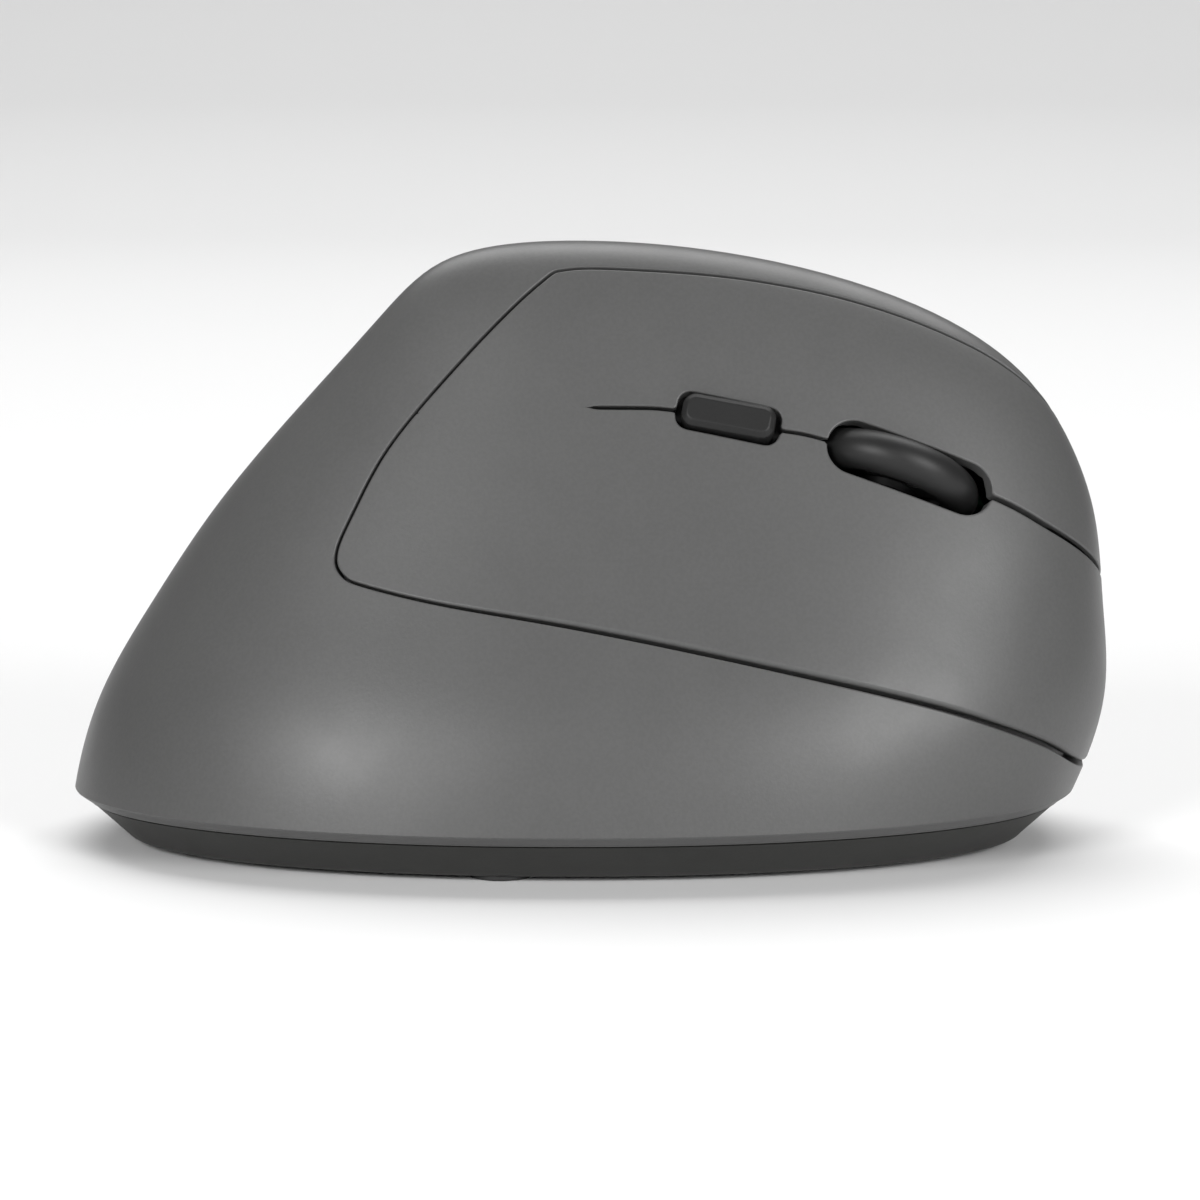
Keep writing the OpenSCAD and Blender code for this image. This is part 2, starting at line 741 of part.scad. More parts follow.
// Tyre: a soft ring with a rounded crown
module wheel_tyre() {
    r0 = wheel_d / 2 - tyre_depth;
    r1 = wheel_d / 2;
    half = wheel_w / 2;
    color([0.08, 0.08, 0.08]) on_wheel() rotate_extrude($fn = 96) difference() {
        union() {
            translate([r0, -half]) square([tyre_depth - tyre_round, wheel_w]);
            translate([r0, -half + tyre_round]) square([tyre_depth, wheel_w - 2 * tyre_round]);
            for (side = [-1, 1])
                translate([r1 - tyre_round, side * (half - tyre_round)]) circle(tyre_round, $fn = 48);
        }
        translate([0, -20]) square([r0, 40]);
    }
}

module encoder_disc() {
    color("silver") on_wheel() translate([0, 0, -8.4]) difference() {
        cylinder(r = 4.5, h = 0.8);
        translate([0, 0, -1]) cylinder(d = axle_d, h = 3);
        for (i = [0 : 11]) rotate(30 * i) translate([3.6, 0, -1]) cylinder(r = 0.45, h = 3, $fn = 16);
    }
}

module encoder_reader() {
    color("black") by_wheel([0, -8], board_w1) difference() {
        translate([-2.6, -1.9, 0]) cube([5.2, 3.8, 4.6]);
        translate([-4, -1, 1.2]) cube([8, 2, 10]);
    }
}

// The thumb board stands on edge behind the thumb wall
module side_board() {
    color("darkgreen") difference() {
        translate([-16, side_board_y, 42]) cube([40, side_board_t, 13]);
        for (p = side_holes) translate([p.x, 0, p.y]) rotate([-90, 0, 0]) cylinder(r = clear_r, h = 20);
    }
}

module side_screws() {
    color("silver") for (p = side_holes)
        translate([p.x, side_board_y, p.y]) rotate([-90, 0, 0]) screw(4.2, 1.5);
}

// The thumb switches are low press switches that face the thumb wall
module side_switch(x) {
    color("black") translate([x + thumb_l / 2, side_board_y + side_board_t, thumb_z]) difference() {
        translate([-side_tact.x / 2, 0, -side_tact.z / 2]) cube(side_tact);
        translate([0, side_tact.y - pocket, 0]) rotate([-90, 0, 0]) cylinder(r = 1.2, h = 2);
    }
}

module side_plunger(x) {
    from = side_board_y + side_board_t + side_tact.y - seated;
    color("white") translate([x + thumb_l / 2, from, thumb_z]) rotate([-90, 0, 0])
        cylinder(r = 1.1, h = side_plunger_y - from);
}

module forward_switch() { side_switch(thumb_x[1]); }

module forward_plunger() { side_plunger(thumb_x[1]); }

module back_switch() { side_switch(thumb_x[0]); }

module back_plunger() { side_plunger(thumb_x[0]); }

module main_board() {
    color("darkgreen") difference() {
        translate([main_x[0], main_y[0], main_z]) cube([main_x[1] - main_x[0], main_y[1] - main_y[0], board_t]);
        for (p = main_holes) translate([p.x, p.y, 0]) cylinder(r = clear_r, h = 20);
        translate([sensor_at.x, sensor_at.y, 0]) cylinder(r = 2.5, h = 20);
    }
}

module main_screws() {
    color("silver") for (p = main_holes) translate([p.x, p.y, main_top]) mirror([0, 0, 1]) screw(5, 1.7);
}

module optical_sensor() {
    color("black") translate([sensor_at.x - 5, sensor_at.y - 4.5, main_top]) cube([10, 9, 2.2]);
}

// The clear lens between the board and the base's window
module sensor_lens() {
    plate_top = floor_top + 1.8;
    color([0.8, 0.9, 0.95, 0.5]) {
        translate([sensor_at.x - 9, sensor_at.y - 5.5, floor_top + 0.2]) cube([18, 11, 1.6]);
        translate([sensor_at.x, sensor_at.y, plate_top - tiny]) cylinder(r = 2.2, h = main_z - plate_top);
        translate([sensor_at.x, sensor_at.y, foot_t + 0.6]) cylinder(r = 2.8, h = floor_t);
    }
}

module sensor_led() {
    color("red") translate([sensor_at.x + 9, sensor_at.y, main_top + 1.6]) {
        rotate([0, -90, 0]) cylinder(r = 1.5, h = 2.4);
        translate([0, -1.9, -1.6]) cube([1.4, 3.8, 3.6]);
    }
}

module controller_chip() {
    color("black") translate([27.5, -21, main_top]) cube([7, 7, 1]);
}

module crystal() {
    color("silver") translate([31.5, -9, main_top]) linear_extrude(1.4) stadium(8, 3.4);
}

module capacitors() {
    color("silver") for (x = [11, 17, 23]) translate([x, -22, main_top]) cylinder(r = 2, h = 5.4);
}

// Sockets for the two ribbons: two on the main board, one under the slanted board and one on the thumb board
module ribbon_sockets() {
    size = [12, 3, socket_h];
    side_size = [8, 3, socket_h];
    color("white") {
        translate([20, -3, main_top]) cube(size);
        on_face() translate([20, 13, board_w0 - socket_h]) cube(size);
        translate([8, -0.4, main_top]) cube(side_size);
        translate([8, side_board_y - 2.2, 42.6]) cube([side_size.x, 2.2, 2.6]);
    }
}

// A flat ribbon bent to an outline across its width, from x on
module ribbon(x, width, outline) {
    color("lightgray") translate([x, 0, 0]) rotate([90, 0, 90]) linear_extrude(width) polygon(outline);
}

module ribbon_cable() {
    low = main_top + socket_h;
    ribbon(21, 10, [[-1.9, low], [-1.4, low], [-1.9, 14], [-9.2, 19.2], [-9.6, 18.8], [-2.4, 13.8]]);
}

module side_ribbon() {
    low = main_top + socket_h;
    ribbon(9, 6, [[0.8, low], [1.3, low], [2.5, 20], [2.5, 42.6], [2, 42.6], [2, 20.1]]);
}

body_shell();
key_plate();
left_button();
right_button();
dpi_button();
forward_button();
back_button();
base_plate();
glide_feet();
base_screws();
battery_door();
power_slider();
power_switch();
receiver_cap();
receiver_plug();
battery_cell();
battery_terminal();
battery_spring();
battery_contact();
chassis_plate();
chassis_screws();
button_board();
board_screws();
left_switch();
left_plunger();
right_switch();
right_plunger();
dpi_switch();
dpi_plunger();
wheel_switch();
wheel_plunger();
wheel_cradle();
wheel_hub();
wheel_tyre();
encoder_disc();
encoder_reader();
side_board();
side_screws();
forward_switch();
forward_plunger();
back_switch();
back_plunger();
main_board();
main_screws();
optical_sensor();
sensor_lens();
sensor_led();
controller_chip();
crystal();
capacitors();
ribbon_cable();
ribbon_sockets();
side_ribbon();
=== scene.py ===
"""An upright computer mouse: its looks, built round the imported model.

The casing and the key panel are cut out of one smooth skin, which the skin class works out from a few
lists of reaches. Everything else is modelled with operators, in metres, where the model's nodes stand.
"""

import json
import logging
import math
from dataclasses import dataclass, field, replace
from enum import Enum
from functools import partial
from typing import Callable, Iterable, Sequence

import bpy
import numpy as np
from mathutils import Matrix, Vector
from mathutils.geometry import delaunay_2d_cdt

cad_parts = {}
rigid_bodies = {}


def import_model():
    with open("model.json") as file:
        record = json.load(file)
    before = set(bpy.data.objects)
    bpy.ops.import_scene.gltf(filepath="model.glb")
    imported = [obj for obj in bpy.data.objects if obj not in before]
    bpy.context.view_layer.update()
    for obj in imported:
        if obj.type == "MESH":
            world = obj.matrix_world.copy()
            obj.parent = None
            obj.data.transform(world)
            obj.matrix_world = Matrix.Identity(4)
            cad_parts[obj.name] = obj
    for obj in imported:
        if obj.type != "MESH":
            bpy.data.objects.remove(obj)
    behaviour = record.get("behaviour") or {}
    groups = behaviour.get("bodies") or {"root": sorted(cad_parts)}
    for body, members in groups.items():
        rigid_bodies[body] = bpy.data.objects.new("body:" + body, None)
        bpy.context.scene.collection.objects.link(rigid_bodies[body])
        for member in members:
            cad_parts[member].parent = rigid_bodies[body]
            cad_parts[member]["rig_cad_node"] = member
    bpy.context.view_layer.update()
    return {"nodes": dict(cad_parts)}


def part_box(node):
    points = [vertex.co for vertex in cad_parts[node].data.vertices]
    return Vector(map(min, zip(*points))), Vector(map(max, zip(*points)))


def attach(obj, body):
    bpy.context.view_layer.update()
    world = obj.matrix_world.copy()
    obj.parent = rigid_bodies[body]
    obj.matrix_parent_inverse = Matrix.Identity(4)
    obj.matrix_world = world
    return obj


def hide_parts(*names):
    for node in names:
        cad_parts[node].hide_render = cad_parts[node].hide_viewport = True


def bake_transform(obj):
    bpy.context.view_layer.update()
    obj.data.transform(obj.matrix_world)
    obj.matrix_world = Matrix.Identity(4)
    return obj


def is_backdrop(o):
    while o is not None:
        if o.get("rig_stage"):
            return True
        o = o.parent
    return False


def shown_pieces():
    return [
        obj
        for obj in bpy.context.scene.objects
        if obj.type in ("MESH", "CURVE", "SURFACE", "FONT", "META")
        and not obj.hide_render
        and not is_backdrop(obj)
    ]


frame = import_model()

MM = 0.001
log = logging.getLogger("mouse")

Field = Callable[[np.ndarray], np.ndarray]
Rows = Sequence[tuple[float, float]]


# ---------------------------------------------------------------- small helpers


def deselect() -> None:
    """Deselect every object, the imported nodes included."""
    if bpy.context.object and bpy.context.object.mode != "OBJECT":
        bpy.ops.object.mode_set(mode="OBJECT")
    bpy.ops.object.select_all(action="DESELECT")


def only(obj: bpy.types.Object) -> bpy.types.Object:
    """Make obj the one selected and active object."""
    deselect()
    obj.select_set(True)
    bpy.context.view_layer.objects.active = obj
    return obj


def newest(name: str) -> bpy.types.Object:
    """Name the object that an operator has just added."""
    obj = bpy.context.object
    obj.name = name
    obj.data.name = name
    return obj


def settle(obj: bpy.types.Object) -> bpy.types.Object:
    """Put obj's place into its mesh and leave the object at the origin."""
    only(obj)
    bpy.ops.object.transform_apply(location=True, rotation=True, scale=True)
    return obj


def modify(obj: bpy.types.Object, kind: str, **settings) -> bpy.types.Object:
    """Add a modifier and apply it at once.

    Args:
        obj: The object to change.
        kind: The modifier's type, such as BEVEL.
        settings: The modifier's properties.

    Returns:
        The same object.
    """
    only(obj)
    modifier = obj.modifiers.new(kind.lower(), kind)
    for key, value in settings.items():
        setattr(modifier, key, value)
    bpy.ops.object.modifier_apply(modifier=modifier.name)
    return obj


def bevel(obj: bpy.types.Object, width: float, segments: int = 3, angle: float = 30.0) -> bpy.types.Object:
    """Round the edges that are sharper than angle degrees, by width metres."""
    return modify(
        obj,
        "BEVEL",
        width=width,
        segments=segments,
        limit_method="ANGLE",
        angle_limit=math.radians(angle),
        harden_normals=False,
    )


def smooth(obj: bpy.types.Object, angle: float = 35.0) -> bpy.types.Object:
    """Shade obj smooth, with edges sharper than angle degrees kept."""
    only(obj)
    bpy.ops.object.shade_smooth_by_angle(angle=math.radians(angle))
    return obj


def cut(obj: bpy.types.Object, cutter: bpy.types.Object) -> bpy.types.Object:
    """Take cutter's shape out of obj and throw the cutter away."""
    modify(obj, "BOOLEAN", operation="DIFFERENCE", object=cutter, solver="EXACT")
    bpy.data.objects.remove(cutter)
    return obj


def loft(name: str, rings: Sequence[np.ndarray]) -> bpy.types.Object:
    """A closed block, extruded from a flat ring through the rings after it.

    Args:
        name: Its name.
        rings: The rings' points, in millimetres, all of the same count and order.

    Returns:
        The block, with its faces outwards.
    """
    deselect()
    bpy.ops.mesh.primitive_circle_add(vertices=len(rings[0]), radius=0.01, fill_type="NGON")
    obj = newest(name)
    for vertex, point in zip(obj.data.vertices, rings[0]):
        vertex.co = Vector(point) * MM
    only(obj)
    for before, after in zip(rings, rings[1:]):
        bpy.ops.object.mode_set(mode="EDIT")
        bpy.ops.mesh.select_mode(type="FACE")
        bpy.ops.mesh.extrude_region_move()
        bpy.ops.object.mode_set(mode="OBJECT")
        for vertex in obj.data.vertices:
            if vertex.select:
                away = np.linalg.norm(np.asarray(before) * MM - np.array(vertex.co), axis=1)
                vertex.co = Vector(after[int(np.argmin(away))]) * MM
    bpy.ops.object.mode_set(mode="EDIT")
    bpy.ops.mesh.select_all(action="SELECT")
    bpy.ops.mesh.normals_make_consistent(inside=False)
    bpy.ops.object.mode_set(mode="OBJECT")
    return face_out(obj)


def rounded_ring(length: float, width: float, corner: float, height: float, points: int) -> np.ndarray:
    """A ring on a rounded rectangle, in millimetres.

    Args:
        length: Its length along X.
        width: Its width along Y.
        corner: The radius of its corners.
        height: Its height.
        points: How many points it has, a multiple of four.

    Returns:
        The ring's points.
    """
    ring = []
    quarter = points // 4
    for k in range(points):
        q, f = divmod(k, quarter)
        turn = math.radians(90 * (q + f / (quarter - 1)))
        sx, sy = ((1, 1), (-1, 1), (-1, -1), (1, -1))[q]
        x = sx * (length / 2 - corner) + corner * math.cos(turn)
        y = sy * (width / 2 - corner) + corner * math.sin(turn)
        ring.append((x, y, height))
    return np.array(ring)


def face_out(obj: bpy.types.Object) -> bpy.types.Object:
    """Turn a closed piece's faces outwards.

    Args:
        obj: The piece, with faces that agree with each other.

    Returns:
        The same object.
    """
    mesh = obj.data
    mesh.calc_loop_triangles()
    volume = 0.0
    for triangle in mesh.loop_triangles:
        a, b, c = (mesh.vertices[i].co for i in triangle.vertices)
        volume += a.dot(b.cross(c))
    if volume < 0:
        only(obj)
        bpy.ops.object.mode_set(mode="EDIT")
        bpy.ops.mesh.select_all(action="SELECT")
        bpy.ops.mesh.flip_normals()
        bpy.ops.object.mode_set(mode="OBJECT")
    return obj


def join(name: str, parts: Iterable[bpy.types.Object]) -> bpy.types.Object:
    """Join parts into one object called name."""
    parts = list(parts)
    only(parts[0])
    for part in parts[1:]:
        part.select_set(True)
    bpy.ops.object.join()
    return newest(name)


def cuboid(name: str, centre: Sequence[float], size: Sequence[float]) -> bpy.types.Object:
    """A box of a size at a centre, with its size in its mesh."""
    deselect()
    bpy.ops.mesh.primitive_cube_add(size=1, location=centre, scale=size)
    return settle(newest(name))


def drum(
    name: str, radius: float, depth: float, vertices: int = 48, matrix: Matrix | None = None
) -> bpy.types.Object:
    """A cylinder along Z round the origin, then placed by matrix."""
    deselect()
    bpy.ops.mesh.primitive_cylinder_add(radius=radius, depth=depth, vertices=vertices)
    obj = newest(name)
    if matrix is not None:
        obj.data.transform(matrix)
    return obj


def pick(obj: bpy.types.Object, test: Callable[[Vector, Vector], bool]) -> None:
    """Open obj in edit mode with the edges selected whose two ends pass test."""
    only(obj)
    mesh = obj.data
    for item in (*mesh.vertices, *mesh.edges, *mesh.polygons):
        item.select = False
    for edge in mesh.edges:
        a, b = (mesh.vertices[i] for i in edge.vertices)
        if test(a.co, b.co):
            edge.select = a.select = b.select = True
    bpy.ops.object.mode_set(mode="EDIT")
    bpy.ops.mesh.select_mode(type="EDGE")


def node_box(*names: str) -> tuple[Vector, Vector]:
    """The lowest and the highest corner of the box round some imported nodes."""
    lows, highs = zip(*(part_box(name) for name in names))
    return Vector(map(min, zip(*lows))), Vector(map(max, zip(*highs)))


# ---------------------------------------------------------------- finishes


class Surface(Enum):
    """What a finish is made of."""

    PLASTIC = "plastic"
    RUBBER = "rubber"
    METAL = "metal"
    BOARD = "board"
    CLEAR = "clear"


@dataclass(frozen=True)
class Finish:
    """A procedural finish.

    Attributes:
        name: The material's name.
        slot: The record's material slot; not used.
        colour: The base colour, linear.
        roughness: The roughness round which the surface varies.
        kind: What it is made of.
        grain: The size of its finest grain, in metres.
        relief: The height of the grain, in metres.
        drift: How much the colour drifts over the piece.
        specular: How strongly it reflects head on.
    """

    name: str
    slot: str
    colour: tuple[float, float, float]
    roughness: float
    kind: Surface = Surface.PLASTIC
    grain: float = 0.00022
    relief: float = 0.000004
    drift: float = 0.03
    specular: float = 0.36

    DRIFT_SCALE = 45.0
    WEAR_SCALE = 160.0
    WEAR = 0.03

    def material(self) -> bpy.types.Material:
        """The finish's material, made once."""
        name = f"{self.name}_finish"
        found = bpy.data.materials.get(name)
        if found:
            return found
        made = bpy.data.materials.new(name)
        made.use_nodes = True
        tree = made.node_tree
        shader = tree.nodes["Principled BSDF"]
        place = tree.nodes.new("ShaderNodeTexCoord").outputs["Object"]
        shader.inputs["Metallic"].default_value = 1.0 if self.kind is Surface.METAL else 0.0
        shader.inputs["Specular IOR Level"].default_value = self.specular
        if self.kind is Surface.CLEAR:
            shader.inputs["Transmission Weight"].default_value = 0.9
            shader.inputs["IOR"].default_value = 1.49
        tree.links.new(self._colour(tree, place), shader.inputs["Base Color"])
        tree.links.new(self._roughness(tree, place), shader.inputs["Roughness"])
        tree.links.new(self._relief(tree, place), shader.inputs["Normal"])
        made.diffuse_color = (*self.colour, 1.0)
        return made

    @staticmethod
    def _noise(
        tree: bpy.types.NodeTree, place: bpy.types.NodeSocket, scale: float, detail: float
    ) -> bpy.types.NodeSocket:
        """A noise on the piece's own coordinates.

        Args:
            tree: The material's nodes.
            place: The coordinates.
            scale: How many waves there are to a metre.
            detail: How many finer layers it has.

        Returns:
            The noise's socket, about 0.5 in the middle.
        """
        noise = tree.nodes.new("ShaderNodeTexNoise")
        noise.inputs["Scale"].default_value = scale
        noise.inputs["Detail"].default_value = detail
        tree.links.new(place, noise.inputs["Vector"])
        return noise.outputs["Fac"]

    @staticmethod
    def _ranged(
        tree: bpy.types.NodeTree, value: bpy.types.NodeSocket, spread: float, low: float, high: float
    ) -> bpy.types.NodeSocket:
        """A noise spread out over a range of values.

        Args:
            tree: The material's nodes.
            value: The noise.
            spread: How far from 0.5 the noise is used.
            low: The lowest value.
            high: The highest value.

        Returns:
            The socket with the values.
        """
        ramp = tree.nodes.new("ShaderNodeMapRange")
        ramp.inputs["From Min"].default_value = 0.5 - spread
        ramp.inputs["From Max"].default_value = 0.5 + spread
        ramp.inputs["To Min"].default_value = low
        ramp.inputs["To Max"].default_value = high
        tree.links.new(value, ramp.inputs["Value"])
        return ramp.outputs["Result"]

    def _colour(self, tree: bpy.types.NodeTree, place: bpy.types.NodeSocket) -> bpy.types.NodeSocket:
        """The base colour, which drifts slowly and has fine specks on top."""
        slow = self._noise(tree, place, self.DRIFT_SCALE, 3.0)
        fine = self._noise(tree, place, 0.7 / self.grain, 1.0)
        speck = self.drift * 1.4
        both = tree.nodes.new("ShaderNodeMath")
        both.operation = "MULTIPLY"
        tree.links.new(self._ranged(tree, slow, 0.2, 1.0 - self.drift, 1.0 + self.drift), both.inputs[0])
        tree.links.new(self._ranged(tree, fine, 0.15, 1.0 - speck, 1.0 + speck), both.inputs[1])
        mix = tree.nodes.new("ShaderNodeVectorMath")
        mix.operation = "SCALE"
        mix.inputs[0].default_value = self.colour
        tree.links.new(both.outputs["Value"], mix.inputs["Scale"])
        return mix.outputs["Vector"]

    def _roughness(self, tree: bpy.types.NodeTree, place: bpy.types.NodeSocket) -> bpy.types.NodeSocket:
        """The roughness, which varies a little, as handled plastic does."""
        wear = self._noise(tree, place, self.WEAR_SCALE, 4.0)
        low, high = max(self.roughness - self.WEAR, 0.02), self.roughness + self.WEAR
        return self._ranged(tree, wear, 0.2, low, high)

    def _relief(self, tree: bpy.types.NodeTree, place: bpy.types.NodeSocket) -> bpy.types.NodeSocket:
        """The fine grain of the mould's texture, as a bump."""
        bump = tree.nodes.new("ShaderNodeBump")
        bump.inputs["Strength"].default_value = 1.0
        bump.inputs["Distance"].default_value = self.relief
        tree.links.new(self._noise(tree, place, 1.0 / self.grain, 2.0), bump.inputs["Height"])
        return bump.outputs["Normal"]

    def dress(self, obj: bpy.types.Object) -> bpy.types.Object:
        """Give obj this finish."""
        obj.data.materials.clear()
        obj.data.materials.append(self.material())
        return obj


GREY = Finish(
    "casing_grey", "casing_plastic", (0.072, 0.072, 0.0715), 0.41, grain=0.0003, relief=0.000009, drift=0.025
)
KEY_GREY = replace(GREY, name="key_grey", slot="key_plastic")
BASE_DARK = Finish("base_dark", "base_plastic", (0.018, 0.018, 0.0165), 0.5, grain=0.0003, relief=0.000008)
BUTTON_BLACK = Finish(
    "button_black", "button_black", (0.014, 0.014, 0.014), 0.46, relief=0.000003, specular=0.22
)
TYRE_BLACK = Finish(
    "tyre_rubber", "wheel_rubber", (0.010, 0.010, 0.010), 0.46, Surface.RUBBER, relief=0.000001, specular=0.32
)
HUB_BLACK = Finish("hub_black", "wheel_plastic", (0.014, 0.014, 0.014), 0.45)
FOOT_BLACK = Finish("foot_black", "foot_ptfe", (0.022, 0.022, 0.022), 0.42, relief=0.000002)
STEEL = Finish("steel", "steel", (0.62, 0.61, 0.6), 0.3, Surface.METAL, grain=0.0001, relief=0.000001)
CAN = Finish("can_metal", "can_metal", (0.7, 0.7, 0.7), 0.25, Surface.METAL, grain=0.0001, relief=0.000001)
BOARD = Finish("solder_mask", "board_green", (0.012, 0.07, 0.032), 0.35, Surface.BOARD, relief=0.000006)
SWITCH = Finish("switch_black", "switch_black", (0.018, 0.018, 0.02), 0.5)
PIN = Finish("pin_white", "pin_white", (0.78, 0.77, 0.74), 0.45)
CHASSIS = Finish("chassis_black", "chassis_plastic", (0.03, 0.03, 0.032), 0.55)
JACKET = Finish("cell_jacket", "cell_jacket", (0.02, 0.15, 0.08), 0.3)
LENS = Finish("lens_clear", "lens_clear", (0.9, 0.94, 0.95), 0.08, Surface.CLEAR)
LED = Finish("led_red", "led_red", (0.5, 0.03, 0.02), 0.15)
CHIP = Finish("chip_black", "chip_black", (0.015, 0.015, 0.016), 0.55)
SOCKET = Finish("socket_white", "socket_white", (0.76, 0.75, 0.7), 0.5)
RIBBON = Finish("ribbon_grey", "ribbon_grey", (0.58, 0.58, 0.58), 0.45)
RECEIVER = Finish("receiver_black", "receiver_black", (0.018, 0.018, 0.018), 0.4)


# ---------------------------------------------------------------- the skin


def spline(values: Sequence[float], share: np.ndarray) -> np.ndarray:
    """A smooth value at a share of the way along a list of even steps.

    Args:
        values: The list.
        share: Where, from 0 to 1.

    Returns:
        The value there.
    """
    v = np.array([2 * values[0] - values[1], *values, 2 * values[-1] - values[-2]])
    at = np.clip(share, 0, 1) * (len(values) - 1)
    i = np.minimum(at.astype(int), len(values) - 2)
    f = at - i
    return (
        (1 - f) ** 3 * v[i]
        + (3 * f**3 - 6 * f**2 + 4) * v[i + 1]
        + (-3 * f**3 + 3 * f**2 + 3 * f + 1) * v[i + 2]
        + f**3 * v[i + 3]
    ) / 6


def through(points: Sequence[tuple[float, float]], steps: int = 8) -> np.ndarray:
    """A smooth curve through points, with steps between each pair."""
    p = np.array(points, float)
    curve = []
    for i in range(len(p) - 1):
        a, b, c, d = p[max(i - 1, 0)], p[i], p[i + 1], p[min(i + 2, len(p) - 1)]
        for f in np.arange(steps) / steps:
            bend, twist = 2 * a - 5 * b + 4 * c - d, 3 * b - a - 3 * c + d
            curve.append((2 * b + (c - a) * f + bend * f**2 + twist * f**3) / 2)
    curve.append(p[-1])
    return np.array(curve)


def soft_min(a: np.ndarray, b: np.ndarray, r: float) -> np.ndarray:
    """The smaller of a and b, with their corner rounded by about r."""
    h = np.maximum(r - np.abs(a - b), 0) / r
    return np.minimum(a, b) - h * h * r / 4


def step_up(value: np.ndarray, low: float, high: float) -> np.ndarray:
    """A smooth step from 0 at low to 1 at high."""
    t = np.clip((value - low) / (high - low), 0, 1)
    return t * t * (3 - 2 * t)


@dataclass(frozen=True)
class Skin:
    """The smooth outer form, in millimetres.

    A place on it is a share, from 0 at the lip to 1 at the crown, and a turn, in degrees from the nose
    towards the thumb side. Each list holds values for even steps of the share.

    Attributes:
        nose: The reach forwards, before it closes in towards the crown.
        tail: The reach backwards.
        finger: The reach towards the keys.
        thumb: The reach towards the thumb.
        nose_square: How square the front quarter on the keys' side is; 2 is an ellipse.
        tail_square: How square the rear quarter on the keys' side is.
        thumb_square: How square the thumb side's quarters are.
        column: The line that the reaches start from.
        lip: The height of the lip.
        crown: The height of the crown.
    """

    nose: tuple[float, ...] = (58.5, 63.5, 65, 70, 74.5, 80.5, 84.5, 85.5, 84.5, 83.5)
    tail: tuple[float, ...] = (58.5, 56.5, 52, 49, 45.5, 43, 43.5, 50, 63.5, 77)
    finger: tuple[float, ...] = (33.5, 31.8, 26.8, 23.2, 20.6, 18.9, 18.2, 18.2, 19, 20)
    thumb: tuple[float, ...] = (42, 29.5, 23, 21, 21, 22, 23, 24, 25, 26)
    nose_square: tuple[float, ...] = (2.1, 2.2, 2.3, 2.3, 2.2, 2.1, 2, 2, 2, 2)
    tail_square: tuple[float, ...] = (2.1, 2.1, 2.1, 2.1, 2.1, 2, 2, 2, 2, 2)
    thumb_square: float = 2.1
    column: tuple[float, float] = (-1.8, -4.25)
    lip: float = 6.4
    crown: float = 70.0

    def _reaches(
        self, share: np.ndarray, front: np.ndarray, thumb: np.ndarray
    ) -> tuple[np.ndarray, np.ndarray, np.ndarray]:
        """The reach along and across, and the squareness, of each point's quarter."""
        along = np.where(front, spline(self.nose, share), spline(self.tail, share))
        across = np.where(thumb, spline(self.thumb, share), spline(self.finger, share))
        square = np.where(front, spline(self.nose_square, share), spline(self.tail_square, share))
        return along, across, np.where(thumb, self.thumb_square, square)

    def at(self, share: np.ndarray, turn: np.ndarray) -> np.ndarray:
        """Points of the skin.

        Args:
            share: From 0 at the lip to 1 at the crown.
            turn: Degrees round from the nose towards the thumb side.

        Returns:
            The points, in millimetres.
        """
        share, turn = np.broadcast_arrays(np.asarray(share, float), np.radians(np.asarray(turn, float)))
        c, s = np.cos(turn), np.sin(turn)
        along, across, n = self._reaches(share, c >= 0, s >= 0)
        spread = (np.abs(c) ** n + np.abs(s) ** n) ** (1 / n)
        closing = np.cos(share * math.pi / 2)
        return np.stack(
            [
                self.column[0] + along * closing * c / spread,
                self.column[1] + across * closing * s / spread,
                self.lip + (self.crown - self.lip) * np.sin(share * math.pi / 2),
            ],
            -1,
        )

    def normal(self, share: np.ndarray, turn: np.ndarray) -> np.ndarray:
        """The outward direction of the skin."""
        share = np.clip(np.asarray(share, float), 0.0015, 0.9985)
        up = self.at(share + 0.0015, turn) - self.at(share - 0.0015, turn)
        across = self.at(share, np.asarray(turn) + 0.15) - self.at(share, np.asarray(turn) - 0.15)
        n = np.cross(across, up)
        return n / np.linalg.norm(n, axis=-1, keepdims=True)

    def place(self, points: np.ndarray) -> tuple[np.ndarray, np.ndarray]:
        """The share and turn of points on or near the skin."""
        rise = np.clip((points[..., 2] - self.lip) / (self.crown - self.lip), 0, 1)
        share = np.arcsin(rise) * 2 / math.pi
        dx, dy = points[..., 0] - self.column[0], points[..., 1] - self.column[1]
        along, across, _ = self._reaches(share, dx >= 0, dy >= 0)
        return share, np.degrees(np.arctan2(dy / across, dx / along)) % 360

    def lip_ring(self, inset: float, z: float, count: int) -> np.ndarray:
        """The lip's outline moved in by inset and set at height z, in count points."""
        turn = np.arange(count) * 360 / count
        n = self.normal(np.zeros(count), turn)
        n[:, 2] = 0
        n /= np.linalg.norm(n, axis=1, keepdims=True)
        ring = self.at(np.zeros(count), turn) - n * inset
        ring[:, 2] = z
        return ring


